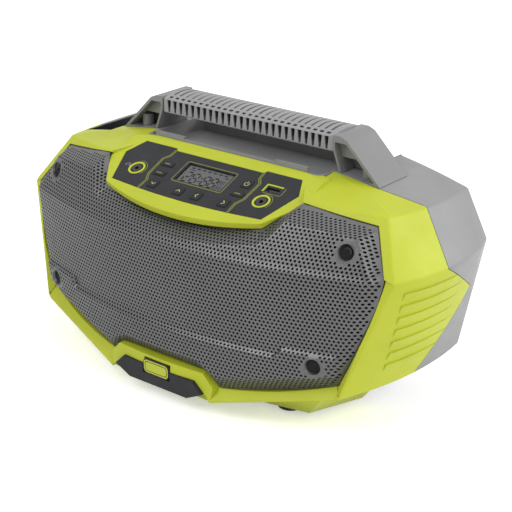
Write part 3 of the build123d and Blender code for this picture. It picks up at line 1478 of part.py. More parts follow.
for index, name in enumerate(("aerial_lower", "aerial_middle", "aerial_upper")):
    with BuildPart() as tube:
        radius = aerial_radii[index]
        top = sleeve_top + aerial_step * (index + 1)
        bottom = aerial_bottom + aerial_step * (index + 1)
        add(rod_z(aerial_x, aerial_y, radius, (bottom, top)))
        if index + 1 < len(aerial_radii):
            inner = aerial_radii[index + 1] + aerial_fit
            add(rod_z(aerial_x, aerial_y, inner, (bottom + aerial_step / 2, top + 1)), mode=Mode.SUBTRACT)
        else:
            knob = top + aerial_step
            add(rod_z(aerial_x, aerial_y, radius, (top - 1, knob + 1)))
            add(rod_z(aerial_x, aerial_y, tip_radius, (knob, knob + tip_length)))
            fillet(tube.faces().sort_by(Axis.Z)[-1].edges(), radius=1.2)
    save(tube.part, name)
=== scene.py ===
"""Looks of the jobsite radio: finishes for the CAD nodes, the perforated grille, the printed
control panel, the ribbed grip, the studio floor, lights and camera.

Lengths are written in millimetres and turned into metres by MM. Only the floor, the lamps and the
camera are written in metres.
"""

import json
import math

import bmesh
import bpy
import numpy as np
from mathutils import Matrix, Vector


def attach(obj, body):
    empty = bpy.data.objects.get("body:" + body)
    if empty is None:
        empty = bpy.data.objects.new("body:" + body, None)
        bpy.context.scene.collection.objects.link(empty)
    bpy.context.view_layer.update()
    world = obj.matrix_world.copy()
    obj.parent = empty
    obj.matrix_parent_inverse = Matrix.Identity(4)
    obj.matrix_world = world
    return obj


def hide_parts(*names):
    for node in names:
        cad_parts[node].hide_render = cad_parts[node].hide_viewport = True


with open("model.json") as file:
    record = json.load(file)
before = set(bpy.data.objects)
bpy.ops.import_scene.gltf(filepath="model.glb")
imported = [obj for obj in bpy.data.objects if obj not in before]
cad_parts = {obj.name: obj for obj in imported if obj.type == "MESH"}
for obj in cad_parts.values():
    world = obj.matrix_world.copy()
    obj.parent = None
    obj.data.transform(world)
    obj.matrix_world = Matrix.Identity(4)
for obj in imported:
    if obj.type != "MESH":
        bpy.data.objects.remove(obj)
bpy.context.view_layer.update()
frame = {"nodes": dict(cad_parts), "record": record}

MM = 0.001

# ------------------------------------------------------------------ materials

noise_roughness = 0.55
# Scale and detail of the noise in each use.
color_noise = (18.0, 4.0)
gloss_noise = (60.0, 3.0)
lens_noise = (40.0, 3.0)
floor_noise = (2.0, 2.0)
grain_detail = 2.0
ramp_span = (0.3, 0.7)
color_change = 0.06
rough_change = 0.06
bump_distance = 0.2
bevel_samples = 6
lens_color = (0.06, 0.06, 0.065)
lens_cover = 0.06
lens_rough = (0.05, 0.14)


def new_material(name):
    """Node material with a principled shader: the material, its node tree and the shader."""
    material = bpy.data.materials.new(name)
    material.use_nodes = True
    tree = material.node_tree
    shader = tree.nodes["Principled BSDF"]
    return material, tree, shader


def noise(tree, scale, detail):
    """Noise texture in object space, in metres."""
    coords = tree.nodes.new("ShaderNodeTexCoord")
    texture = tree.nodes.new("ShaderNodeTexNoise")
    texture.inputs["Scale"].default_value = scale
    texture.inputs["Detail"].default_value = detail
    texture.inputs["Roughness"].default_value = noise_roughness
    tree.links.new(coords.outputs["Object"], texture.inputs["Vector"])
    return texture


def ramp(tree, texture, first, second):
    """Colour ramp between two colours over the middle of a texture's range."""
    node = tree.nodes.new("ShaderNodeValToRGB")
    for element, place, color in zip(node.color_ramp.elements, ramp_span, (first, second)):
        element.position = place
        element.color = (*color, 1)
    tree.links.new(texture.outputs["Fac"], node.inputs["Fac"])
    return node.outputs["Color"]


def surface(name, color, rough, grain=1500.0, bump=0.15, metallic=0.0, edge=0.5, specular=0.5):
    """Moulded or painted surface: fine grain, soft edges, small changes of colour and roughness."""
    material, tree, shader = new_material(name)
    dark = [c * (1 - color_change) for c in color]
    light = [c * (1 + color_change) for c in color]
    tree.links.new(ramp(tree, noise(tree, *color_noise), dark, light), shader.inputs["Base Color"])
    low, high = rough - rough_change, min(1.0, rough + rough_change)
    gloss = ramp(tree, noise(tree, *gloss_noise), (low,) * 3, (high,) * 3)
    tree.links.new(gloss, shader.inputs["Roughness"])
    shader.inputs["Metallic"].default_value = metallic
    shader.inputs["Specular IOR Level"].default_value = specular
    relief = tree.nodes.new("ShaderNodeBump")
    relief.inputs["Strength"].default_value = bump
    relief.inputs["Distance"].default_value = bump_distance * MM
    tree.links.new(noise(tree, grain, grain_detail).outputs["Fac"], relief.inputs["Height"])
    if edge:
        soft = tree.nodes.new("ShaderNodeBevel")
        soft.samples = bevel_samples
        soft.inputs["Radius"].default_value = edge * MM
        tree.links.new(soft.outputs["Normal"], relief.inputs["Normal"])
    tree.links.new(relief.outputs["Normal"], shader.inputs["Normal"])
    return material


materials = {
    "lime_shell": surface("lime_shell", (0.50, 0.555, 0.028), 0.46, bump=0.12, edge=0.8,
                          specular=0.35),
    "grey_shell": surface("grey_shell", (0.27, 0.27, 0.272), 0.45, bump=0.3, edge=0.8),
    "grey_handle": surface("grey_handle", (0.225, 0.226, 0.229), 0.45, bump=0.3, edge=0.7),
    "grip_rubber": surface("grip_rubber", (0.31, 0.311, 0.315), 0.55, bump=0.3, edge=0),
    "grille_steel": surface("grille_steel", (0.125, 0.125, 0.128), 0.36, metallic=0.45, bump=0.08,
                            edge=0),
    "black_screw": surface("black_screw", (0.02, 0.02, 0.02), 0.3, metallic=0.6, edge=0.2),
    "steel_screw": surface("steel_screw", (0.5, 0.5, 0.5), 0.3, metallic=1.0, edge=0.2),
    "charcoal": surface("charcoal", (0.016, 0.0165, 0.019), 0.55, bump=0.25, edge=0.4,
                        specular=0.3),
    "lime_trim": surface("lime_trim", (0.50, 0.555, 0.028), 0.4, edge=0.3),
    "lcd": surface("lcd", (0.17, 0.172, 0.176), 0.6, edge=0, bump=0.03, specular=0.2),
    "key_rubber": surface("key_rubber", (0.016, 0.0165, 0.019), 0.6, edge=0.3, specular=0.25),
    "silicone": surface("silicone", (0.08, 0.08, 0.09), 0.6),
    "circuit_board": surface("circuit_board", (0.01, 0.08, 0.03), 0.4, edge=0.2),
    "black_plastic": surface("black_plastic", (0.015, 0.015, 0.016), 0.45, edge=0.3),
    "port_steel": surface("port_steel", (0.10, 0.10, 0.11), 0.35, metallic=0.8, edge=0.2),
    "baffle_plastic": surface("baffle_plastic", (0.01, 0.01, 0.011), 0.6),
    "basket_steel": surface("basket_steel", (0.02, 0.02, 0.022), 0.45, metallic=0.4),
    "magnet": surface("magnet", (0.03, 0.03, 0.033), 0.6),
    "foam_rubber": surface("foam_rubber", (0.01, 0.01, 0.01), 0.8),
    "paper_cone": surface("paper_cone", (0.015, 0.015, 0.015), 0.85),
    "aluminium": surface("aluminium", (0.6, 0.61, 0.62), 0.4, metallic=1.0),
    "transformer_steel": surface("transformer_steel", (0.1, 0.1, 0.11), 0.5, metallic=0.6),
    "ferrite": surface("ferrite", (0.03, 0.03, 0.033), 0.6),
    "contact_brass": surface("contact_brass", (0.7, 0.5, 0.2), 0.3, metallic=1.0),
    "aerial_chrome": surface("aerial_chrome", (0.7, 0.7, 0.72), 0.12, metallic=1.0),
    "foot_rubber": surface("foot_rubber", (0.012, 0.012, 0.012), 0.75, bump=0.4),
}


def glass_material():
    """Clear window over the display: mostly see-through, with a gloss of its own."""
    material, tree, shader = new_material("lens")
    shader.inputs["Base Color"].default_value = (*lens_color, 1)
    shader.inputs["Alpha"].default_value = lens_cover
    gloss = ramp(tree, noise(tree, *lens_noise), *[(value,) * 3 for value in lens_rough])
    tree.links.new(gloss, shader.inputs["Roughness"])
    return material


materials["lens"] = glass_material()
materials["cloth"] = surface("cloth", (0.006, 0.006, 0.006), 0.95, grain=2500.0, bump=0.4, edge=0)
materials["lime_line"] = surface("lime_line", (0.24, 0.27, 0.04), 0.5, edge=0)
materials["icon_print"] = surface("icon_print", (0.42, 0.45, 0.19), 0.5, edge=0)
# Painted shade for the grip's deep faces: the darkest for the upper slots and the dashes, a lighter
# one for the grooves and low in the slots.
materials["grip_slot_painted_shade"] = surface("grip_slot_painted_shade", (0.028, 0.028, 0.03), 0.7, edge=0)
materials["grip_groove_painted_shade"] = surface("grip_groove_painted_shade", (0.11, 0.11, 0.113), 0.65, edge=0)
materials["pale_print"] = surface("pale_print", (0.30, 0.28, 0.36), 0.5, edge=0)
materials["lcd_ink"] = surface("lcd_ink", (0.008, 0.008, 0.009), 0.6, edge=0, specular=0.2)

slots = {part["node"]: part["material_slot"] for part in frame["record"]["subparts"]}
for name, node in frame["nodes"].items():
    node.data.materials.clear()
    node.data.materials.append(materials[slots[name]])

# ------------------------------------------------------------------ grille sizes

# Opening of the bezel, right half from the top middle clockwise, as (x, depth y, z).
bow_middle = (0.0, -65.0, 151.0)
opening_shoulder = (81.2, -60.5, 157.4)
opening_top_in = (100.9, -36.6, 175.4)
opening_top_out = (162.2, -22.9, 167.9)
opening_side = (182.0, -45.0, 134.5)
opening_low_out = (152.7, -58.1, 46.3)
opening_low_in = (56.4, -83.0, 23.3)
opening_notch = (45.1, -85.5, 35.6)
side_bulge = 4.0
foot_bulge = 3.0
edge_clearance = 0.35
edge_mitre = 0.5
same_spot = 1e-3
tiny = 1e-6

# Raised field inside the border, right half from the top middle clockwise, as (x, z).
field_bow = (0.0, 139.8)
field_shoulder = (82.8, 147.6)
field_rise = (89.2, 152.0)
field_top_in = (100.6, 167.0)
field_top_out = (156.8, 162.6)
field_side = (172.0, 136.0)
field_low_out = (148.5, 56.6)
field_low_in = (57.4, 34.8)
field_notch = (38.5, 46.0)
field_side_bulge = 2.0

# Number of straight steps along each curved run of the two outlines.
bow_steps = 16
side_steps = 10
foot_steps = 8
field_bow_steps = 12
field_side_steps = 8

# The field is three shingles, each standing proud of the one above it. Depths at x = 0.
plan_curve = 0.001115
low_nose = -92.3
middle_nose = -89.3
high_nose = -86.3
flat_fall = 0.015
high_fall = 0.54
upper_ledge = (134.6, 137.4)
lower_ledge = (64.2, 66.9)
lower_ledge_rise = 7.0
lower_riser = (107.0, 112.5)

# The sheet was punched flat and then drawn: its rows are even along the sheet, not in height.
sheet_half = 183.0
sheet_z = (21.0, 177.5)
sheet_rows = (-95, 110)
sheet_columns = 55
sheet_zero = 100.0
table_half = 184.0
table_column = 2.0
table_z = (20.0, 178.0)
table_step = 0.25
hole_pitch = 3.41
row_pitch = 2.95
hole_radius = 1.02
hole_sides = 12
cell_sides = 6
rim_land = 0.5
sheet_thickness = 0.9
sheet_fold = 32
cloth_gap = 2.4
cloth_thickness = 0.3

cup_spots = [(152.1, 152.9), (138.2, 62.7)]
cup_radius = 6.3
cup_lip = 7.7
cup_cut = 6.9
cup_land = 0.4
cup_depth = 5.0
cup_sides = 40
# Rings of a cup: radius, depth, and whether the depth follows the sheet or starts at the middle.
cup_rings = [(cup_lip, 0.25, True), (cup_lip - 0.25, -0.3, True), (cup_lip - 0.8, -0.45, True),
             (cup_radius + 0.1, -0.1, True), (cup_radius - 0.2, 1.2, False),
             (cup_radius - 0.5, cup_depth - 1.0, False), (cup_radius - 1.3, cup_depth - 0.1, False),
             (1.2, cup_depth, False)]


def arc_points(start, middle, end, count):
    """Points of the round arc through three points given as (x, y, z), with y run in evenly."""
    ax, az = start[0], start[2]
    bx, bz = middle[0], middle[2]
    cx, cz = end[0], end[2]
    a2 = ax * ax + az * az
    b2 = bx * bx + bz * bz
    c2 = cx * cx + cz * cz
    d = 2 * (ax * (bz - cz) + bx * (cz - az) + cx * (az - bz))
    ux = (a2 * (bz - cz) + b2 * (cz - az) + c2 * (az - bz)) / d
    uz = (a2 * (cx - bx) + b2 * (ax - cx) + c2 * (bx - ax)) / d
    radius = math.hypot(ax - ux, az - uz)
    first = math.atan2(az - uz, ax - ux)
    last = math.atan2(cz - uz, cx - ux)
    if last - first > math.pi:
        last -= 2 * math.pi
    if first - last > math.pi:
        last += 2 * math.pi
    points = []
    for step in range(count + 1):
        t = step / count
        angle = first + (last - first) * t
        depth = start[1] + (end[1] - start[1]) * t
        points.append((ux + radius * math.cos(angle), depth, uz + radius * math.sin(angle)))
    return points


def bulge_point(start, end, side, foot):
    """Point beside the middle of a line, moved out sideways and down."""
    return ((start[0] + end[0]) / 2 + side, 0, (start[2] + end[2]) / 2 - foot)


def mirror_x(points):
    """Mirror images of the points, in reverse order."""
    return [(-p[0], *p[1:]) for p in reversed(points)]


def opening_loop():
    """Outline of the opening, clockwise from the left shoulder."""
    side_middle = bulge_point(opening_side, opening_low_out, side_bulge, 0)
    foot_middle = bulge_point(opening_low_out, opening_low_in, 0, foot_bulge)
    right = [opening_top_in, opening_top_out]
    right += arc_points(opening_side, side_middle, opening_low_out, side_steps)
    right += arc_points(opening_low_out, foot_middle, opening_low_in, foot_steps)[1:]
    right.append(opening_notch)
    bow_left = (-opening_shoulder[0], *opening_shoulder[1:])
    bow = arc_points(bow_left, bow_middle, opening_shoulder, bow_steps)
    middle = len(bow) // 2
    for index, point in enumerate(bow):
        blend = abs(index - middle) / middle
        depth = bow_middle[1] + (opening_shoulder[1] - bow_middle[1]) * blend ** 2
        bow[index] = (point[0], depth, point[2])
    return bow + right + mirror_x(right)


def flat(point):
    """An (x, z) point as (x, y, z) with no depth."""
    return (point[0], 0.0, point[1])


def field_loop():
    """Outline of the raised field, clockwise from the left shoulder, as (x, z)."""
    left = (-field_shoulder[0], field_shoulder[1])
    bow = arc_points(flat(left), flat(field_bow), flat(field_shoulder), field_bow_steps)
    middle = bulge_point(flat(field_side), flat(field_low_out), field_side_bulge, 0)
    right = [flat(field_rise), flat(field_top_in), flat(field_top_out)]
    right += arc_points(flat(field_side), middle, flat(field_low_out), field_side_steps)
    right += [flat(field_low_in), flat(field_notch)]
    return [(p[0], p[2]) for p in bow + right + mirror_x(right)]


def smooth_step(value, low, high):
    """0 below low, 1 above high, straight between them."""
    return np.clip((value - low) / (high - low), 0.0, 1.0)


def field_depth(x, z):
    """Depth of the shingled field."""
    rise = lower_ledge_rise * smooth_step(np.abs(x), *lower_riser)
    low = smooth_step(z - rise, *lower_ledge)
    high = smooth_step(z, *upper_ledge)
    nose = low_nose + (middle_nose - low_nose) * low + (high_nose - middle_nose) * high
    below = np.minimum(z - upper_ledge[0], 0)
    above = np.maximum(z - upper_ledge[1], 0)
    return nose + plan_curve * x * x + (flat_fall * below + high_fall * above)


def to_loop(points, loop):
    """Distance of points from a closed outline, with the nearest point's segment and share."""
    best = np.full(len(points), np.inf)
    where = np.zeros(len(points), int)
    share = np.zeros(len(points))
    loop = np.asarray(loop)
    for index in range(len(loop)):
        a = loop[index]
        b = loop[(index + 1) % len(loop)]
        along = b - a
        t = np.clip(((points - a) @ along) / (along @ along), 0, 1)
        gap = np.linalg.norm(points - (a + t[:, None] * along), axis=1)
        nearer = gap < best
        best[nearer] = gap[nearer]
        where[nearer] = index
        share[nearer] = t[nearer]
    return best, where, share


def inside_loop(points, loop):
    """Which points lie inside a closed outline."""
    inside = np.zeros(len(points), bool)
    x, z = points[:, 0], points[:, 1]
    for index in range(len(loop)):
        ax, az = loop[index]
        bx, bz = loop[(index + 1) % len(loop)]
        if az == bz:
            continue
        crosses = (az > z) != (bz > z)
        inside ^= crosses & (x < (bx - ax) * (z - az) / (bz - az) + ax)
    return inside


opening = opening_loop()
opening_flat = [(p[0], p[2]) for p in opening]
opening_y = np.array([p[1] for p in opening])
field_outline = field_loop()


def grille_depth(points):
    """Depth of the grille at (x, z) points: the field, and the border back to the bezel."""
    points = np.asarray(points, float)
    depth = field_depth(points[:, 0], points[:, 1])
    outer = ~inside_loop(points, field_outline)
    if outer.any():
        border = points[outer]
        inner_gap, inner_index, inner_share = to_loop(border, field_outline)
        outer_gap, outer_index, outer_share = to_loop(border, opening_flat)
        loop = np.asarray(field_outline)
        following = np.roll(loop, -1, axis=0)
        blend = inner_share[:, None]
        nearest = loop[inner_index] * (1 - blend) + following[inner_index] * blend
        edge = field_depth(nearest[:, 0], nearest[:, 1])
        next_y = np.roll(opening_y, -1)
        rim = opening_y[outer_index] * (1 - outer_share) + next_y[outer_index] * outer_share
        t = inner_gap / np.maximum(inner_gap + outer_gap, tiny)
        depth[outer] = edge + (rim - edge) * t
    return depth


def row_table():
    """Distance up the sheet from its middle row, for columns across it and heights up it."""
    across = np.arange(-table_half, table_half + table_column / 2, table_column)
    up = np.arange(table_z[0], table_z[1] + table_step / 2, table_step)
    grid_x, grid_z = np.meshgrid(across, up, indexing="ij")
    y = grille_depth(np.stack([grid_x.ravel(), grid_z.ravel()], 1)).reshape(grid_x.shape)
    step = np.hypot(np.diff(y, axis=1), table_step)
    length = np.concatenate([np.zeros((len(across), 1)), np.cumsum(step, axis=1)], axis=1)
    base = int((sheet_zero - up[0]) / table_step)
    length -= length[:, base:base + 1]
    return across, up, length


columns, heights, lengths = row_table()


def height_on_sheet(x, s):
    """Height of the point that lies s along the sheet above the middle row, at x."""
    place = (x - columns[0]) / table_column
    index = int(np.clip(math.floor(place), 0, len(columns) - 2))
    blend = place - index
    low = np.interp(s, lengths[index], heights)
    high = np.interp(s, lengths[index + 1], heights)
    return low * (1 - blend) + high * blend


def clip_to_cell(outline, cell):
    """Part of an outline inside a convex cell (Sutherland and Hodgman)."""
    result = outline
    for index in range(len(cell)):
        ax, az = cell[index]
        bx, bz = cell[(index + 1) % len(cell)]
        fresh = []
        for k in range(len(result)):
            px, pz = result[k - 1]
            qx, qz = result[k]
            side_p = (bx - ax) * (pz - az) - (bz - az) * (px - ax)
            side_q = (bx - ax) * (qz - az) - (bz - az) * (qx - ax)
            if (side_p >= 0) != (side_q >= 0):
                t = side_p / (side_p - side_q)
                fresh.append((px + t * (qx - px), pz + t * (qz - pz)))
            if side_q >= 0:
                fresh.append((qx, qz))
        result = fresh
        if not result:
            break
    return result


def inset_loop(loop, amount):
    """Closed clockwise outline moved inwards, with mitred corners."""
    count = len(loop)
    moved = []
    for index in range(count):
        before = Vector(loop[index - 1])
        here = Vector(loop[index])
        after = Vector(loop[(index + 1) % count])
        first = (here - before).normalized()
        second = (after - here).normalized()
        normal = Vector((first.y + second.y, -first.x - second.x)).normalized()
        scale = max(edge_mitre, normal.dot(Vector((first.y, -first.x))))
        moved.append(tuple(here + normal * (amount / scale)))
    return moved


def make_object(name, bm, materials_used, body="radio"):
    """Finish a mesh: object, materials and the body that carries it."""
    mesh = bpy.data.meshes.new(name)
    bm.to_mesh(mesh)
    bm.free()
    obj = bpy.data.objects.new(name, mesh)
    bpy.context.scene.collection.objects.link(obj)
    for material in materials_used:
        mesh.materials.append(material)
    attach(obj, body)
    return obj


def hex_corners(x, s):
    """Corners of the cell round a hole, anticlockwise, on the flat sheet."""
    tall = (hole_pitch ** 2 / 4 + row_pitch ** 2) / (2 * row_pitch)
    short = (row_pitch ** 2 - hole_pitch ** 2 / 4) / (2 * row_pitch)
    half = hole_pitch / 2
    return [(x + half, s + short), (x, s + tall), (x - half, s + short),
            (x - half, s - short), (x, s - tall), (x + half, s - short)]


def snap_to_cup(point):
    """Point moved out to the edge of a screw cup's round cut, and whether it was inside."""
    x, z = point
    for sx, sz in cup_spots:
        centre = sx if x > 0 else -sx
        gap = math.hypot(x - centre, z - sz)
        if gap < cup_cut:
            if gap < same_spot:
                return (centre + cup_cut, sz), True
            scale = cup_cut / gap
            return (centre + (x - centre) * scale, sz + (z - sz) * scale), True
    return point, False


def add_back(bm, thickness):
    """Give an open sheet a back, with a wall round every edge and hole."""
    fronts = bm.faces[:]
    rims = []
    for face in fronts:
        for loop in face.loops:
            if len(loop.edge.link_faces) == 1:
                rims.append((loop.vert, loop.link_loop_next.vert))
    back = {vert: bm.verts.new(vert.co - vert.normal * thickness) for vert in bm.verts[:]}
    for face in fronts:
        bm.faces.new([back[vert] for vert in reversed(face.verts)])
    for first, second in rims:
        bm.faces.new((second, first, back[first], back[second]))


def build_sheet(name, perforated, gap, thickness, material):
    """Grille sheet or the cloth behind it, made cell by cell."""
    flat_points = []
    index_of = {}
    faces = []

    def vertex(point):
        key = (round(point[0], 2), round(point[1], 2))
        if key not in index_of:
            index_of[key] = len(flat_points)
            flat_points.append(point)
        return index_of[key]

    for corners, hole in all_cells:
        snapped = [snap_to_cup(corner) for corner in corners]
        if perforated and all(inside for _, inside in snapped):
            continue
        if perforated and any(inside for _, inside in snapped):
            corners = [point for point, _ in snapped]
        outer = [vertex(corner) for corner in corners]
        if perforated and hole:
            inner = [vertex(point) for point in hole]
            for k in range(cell_sides):
                # Corner k stands at 30 + 60 k degrees, and the hole has a point every 30 degrees.
                first = (2 * k + 1) % hole_sides
                faces.append([outer[k], outer[(k + 1) % cell_sides], inner[(first + 2) % hole_sides],
                              inner[(first + 1) % hole_sides], inner[first]])
        else:
            outer = [v for k, v in enumerate(outer) if v != outer[k - 1]]
            if len(set(outer)) > 2:
                faces.append(outer)
    depth = grille_depth(flat_points)
    bm = bmesh.new()
    verts = [bm.verts.new((x * MM, y * MM, z * MM)) for (x, z), y in zip(flat_points, depth)]
    for face in faces:
        bm.faces.new([verts[v] for v in face])
    bmesh.ops.delete(bm, geom=[v for v in bm.verts if not v.link_faces], context="VERTS")
    bm.normal_update()
    if sum(face.normal.y * face.calc_area() for face in bm.faces) > 0:
        bmesh.ops.reverse_faces(bm, faces=bm.faces)
        bm.normal_update()
    if gap:
        for vert in bm.verts:
            vert.co -= vert.normal * gap * MM
    add_back(bm, thickness * MM)
    for face in bm.faces:
        face.smooth = True
    obj = make_object(name, bm, [material])
    obj.data.set_sharp_from_angle(angle=math.radians(sheet_fold))


def grille_cells():
    """Cells of the whole sheet, as (outline, hole) in (x, z); hole is None in a blank cell."""
    edge = inset_loop(opening_flat, edge_clearance)
    limit = np.asarray(edge)
    anticlockwise = edge[::-1]
    places = []
    for row in range(int(sheet_rows[0] / row_pitch), int(sheet_rows[1] / row_pitch)):
        for column in range(-sheet_columns, sheet_columns + 1):
            x = (column + 0.5 * (row % 2)) * hole_pitch
            s = row * row_pitch
            if abs(x) < sheet_half:
                z = height_on_sheet(x, s)
                if sheet_z[0] < z < sheet_z[1]:
                    places.append((x, s, z))
    outlines = [[(cx, height_on_sheet(cx, cs)) for cx, cs in hex_corners(x, s)]
                for x, s, z in places]
    corner_flags = inside_loop(np.asarray(outlines).reshape(-1, 2), edge).reshape(-1, cell_sides)
    centres = np.asarray([(x, z) for x, s, z in places])
    gaps = to_loop(centres, limit)[0]
    cells = []
    for index, (x, s, z) in enumerate(places):
        whole = corner_flags[index].all()
        if not whole and not corner_flags[index].any() and gaps[index] > hole_pitch:
            continue
        hole = None
        cup_gap = min(math.hypot(abs(x) - sx, z - sz) for sx, sz in cup_spots)
        clear = cup_gap > cup_lip + hole_radius + cup_land
        if whole and clear and gaps[index] > hole_radius + rim_land:
            hole = []
            for k in range(hole_sides):
                turn = 2 * math.pi * k / hole_sides
                hx = x + hole_radius * math.cos(turn)
                hole.append((hx, height_on_sheet(hx, s + hole_radius * math.sin(turn))))
        corners = outlines[index]
        if not whole:
            corners = clip_to_cell(anticlockwise, corners)
            if len(corners) < 3:
                continue
        cells.append((corners, hole))
    return cells


all_cells = grille_cells()


def build_cup(name, x, z):
    """Dished cup for one of the grille's screws."""
    middle = float(grille_depth([(x, z)])[0])
    bm = bmesh.new()
    rings = []
    for radius, depth, follows in cup_rings:
        ring = []
        for k in range(cup_sides):
            turn = 2 * math.pi * k / cup_sides
            px = x + radius * math.cos(turn)
            pz = z + radius * math.sin(turn)
            base = float(grille_depth([(px, pz)])[0]) if follows else middle
            ring.append(bm.verts.new((px * MM, (base + depth) * MM, pz * MM)))
        rings.append(ring)
    for outer, inner in zip(rings, rings[1:]):
        for k in range(cup_sides):
            following = (k + 1) % cup_sides
            bm.faces.new((outer[k], outer[following], inner[following], inner[k]))
    bm.faces.new(rings[-1])
    bm.normal_update()
    if sum(face.normal.y * face.calc_area() for face in bm.faces) > 0:
        bmesh.ops.reverse_faces(bm, faces=bm.faces)
    for face in bm.faces:
        face.smooth = True
    make_object(name, bm, [materials["grille_steel"]])


def build_grille():
    """Perforated sheet, the dark cloth behind it and the dished cups for its four screws."""
    build_sheet("grille_mesh", True, 0.0, sheet_thickness, materials["grille_steel"])
    build_sheet("grille_cloth", False, cloth_gap, cloth_thickness, materials["cloth"])
    for side, label in ((-1, "left"), (1, "right")):
        for level, (x, z) in zip(("upper", "lower"), cup_spots):
            build_cup(f"grille_cup_{label}_{level}", side * x, z)


build_grille()
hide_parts("grille")

# ------------------------------------------------------------------ control panel print

panel_origin = Vector((0.0, -57.3, 164.2))
panel_slope = math.radians(22.75)
panel_up = Vector((0.0, math.cos(panel_slope), math.sin(panel_slope)))
panel_out = Vector((0.0, -math.sin(panel_slope), math.cos(panel_slope)))
ink = 0.08
ink_foot = 0.03
band_mitre = 0.4
corner_steps = 5
key_face = 0.6
display_face = -1.9

# Marks on the panel, as (x, v) from the panel's origin, and their line widths. Arcs are given as
# middle, radius, first and last angle in degrees, and steps.
divider_line = [(46.3, 46.8), (47.0, 38.5), (51.0, 33.5), (50.2, 13.0), (46.5, 6.2), (46.9, -5.2)]
divider_gap = 1.5
divider_width = 0.62
frame_box = (-25.9, 26.4, 13.2, 37.6)
frame_corner = 1.6
frame_width = 0.55
frame_sill = [(-24.6, 13.0), (25.1, 13.0)]
frame_sill_width = 1.0
usb_corner = [(58.4, 26.4), (58.4, 34.9), (73.6, 34.9)]
usb_corner_width = 1.5
usb_corner_rise = 0.3
usb_trace = [(75.2, 35.0), (76.4, 33.8), (76.4, 26.8), (75.0, 25.4), (59.6, 25.4)]
trace_width = 0.45
jack_place = (65.4, 15.6)
jack_arc = (9.1, -35, 105, 24)
arrow_half = 2.1
arrow_width = 0.75
# Middle of each arrow, and the three points of its line in units of arrow_half.
arrows = {
    "key_volume_down": (-37.2, 3.8, [(-1, 0.5), (0, -0.5), (1, 0.5)]),
    "key_volume_up": (-9.4, 3.2, [(-1, -0.5), (0, 0.5), (1, -0.5)]),
    "key_tune_down": (9.4, 3.2, [(0.5, 1), (-0.5, 0), (0.5, -1)]),
    "key_tune_up": (36.8, 3.8, [(-0.5, 1), (0.5, 0), (-0.5, -1)]),
}
power_ring = (41.2, 29.2, 2.1, 125, 415, 22)
power_stroke = [(41.2, 29.6), (41.2, 32.1)]
power_width = 0.6
bar_places = {"key_clock": (-41.6, 28.6), "key_preset": (-41.2, 16.8), "key_mode": (41.0, 16.8)}
bar_half = 2.9
bar_width = 0.8
headband = (-76.6, 17.4, 1.7, 0, 180, 12)
headband_width = 0.4
ear_cups = [[(-78.4, 17.4), (-78.4, 15.8)], [(-74.8, 17.4), (-74.8, 15.8)]]
ear_cup_width = 0.9

# The display's face and what it shows: rows of digits as text, x, v, width, height, gap, stroke.
lcd_box = (-23.1, 24.1, 15.0, 35.8)
lcd_corner = 0.6
lcd_levels = (0.01, 0.06)
segment_level = 0.07
segment_rise = 0.04
segment_trim = 0.62
colon_levels = (0.32, 0.68)
digit_lean = 0.06
digit_rows = [("28:88", -19.6, 17.0, 5.6, 11.2, 2.2, 1.45), ("888", 13.0, 17.2, 2.0, 3.9, 1.0, 0.5),
              ("88", 14.2, 22.9, 2.4, 4.4, 1.1, 0.55)]
dash_count = 7
dash_start = -19.5
dash_pitch = 5.7
dash_length = 3.2
dash_row = 33.4
dash_width = 1.3
short_marks = [([(-19.5, 31.0), (-13.9, 31.0)], 0.7), ([(16.6, 31.0), (20.8, 31.0)], 0.9)]

# Small pad over the plate, and the layers of its bare face as name, inset, finish and front.
pad_box = (-15.0, 13.0, 20.0, 33.0)
pad_corner = 4.0
pad_corner_fall = 0.6
pad_front = -95.7
pad_foot = 0.05
pad_layers = [("pad_face", 0.9, "lime_trim", -0.03), ("pad_line", 2.1, "charcoal", -0.055),
              ("pad_panel", 2.7, "lime_trim", -0.08)]


def panel_place(x, v, n):
    """Point on the control panel: across, up the slope and out of it."""
    return (panel_origin + Vector((x, 0, 0)) + panel_up * v + panel_out * n) * MM


def band_sides(points, width, closed):
    """Both edges of a band of even width along a line, with mitred corners."""
    left, right = [], []
    count = len(points)
    for index in range(count):
        here = Vector(points[index])
        before = Vector(points[index - 1]) if closed or index else None
        after = Vector(points[(index + 1) % count]) if closed or index + 1 < count else None
        first = (here - before).normalized() if before is not None else (after - here).normalized()
        second = (after - here).normalized() if after is not None else first
        across = Vector((-(first.y + second.y), first.x + second.x)).normalized()
        scale = max(band_mitre, across.dot(Vector((-first.y, first.x))))
        left.append(here + across * (width / 2 / scale))
        right.append(here - across * (width / 2 / scale))
    return left, right


def add_band(bm, points, width, low, high, closed=False):
    """Raised band on the panel along a line of (x, v) points."""
    left, right = band_sides(points, width, closed)
    grid = [[bm.verts.new(panel_place(p.x, p.y, n)) for n in (low, high)] for p in left]
    other = [[bm.verts.new(panel_place(p.x, p.y, n)) for n in (low, high)] for p in right]
    count = len(points)
    for index in range(count if closed else count - 1):
        following = (index + 1) % count
        a, b, c, d = grid[index], grid[following], other[following], other[index]
        bm.faces.new((a[1], d[1], c[1], b[1]))
        bm.faces.new((a[0], b[0], c[0], d[0]))
        bm.faces.new((a[0], a[1], b[1], b[0]))
        bm.faces.new((d[0], c[0], c[1], d[1]))
    if not closed:
        for end, flip in ((0, False), (count - 1, True)):
            a, d = grid[end], other[end]
            loop = (a[0], d[0], d[1], a[1])
            bm.faces.new(loop[::-1] if flip else loop)


def rounded(x0, x1, v0, v1, radius):
    """Closed outline of a rectangle with round corners."""
    points = []
    for cx, cv, start in ((x1 - radius, v1 - radius, 0), (x0 + radius, v1 - radius, 90),
                          (x0 + radius, v0 + radius, 180), (x1 - radius, v0 + radius, 270)):
        for step in range(corner_steps + 1):
            turn = math.radians(start + 90 * step / corner_steps)
            points.append((cx + radius * math.cos(turn), cv + radius * math.sin(turn)))
    return points


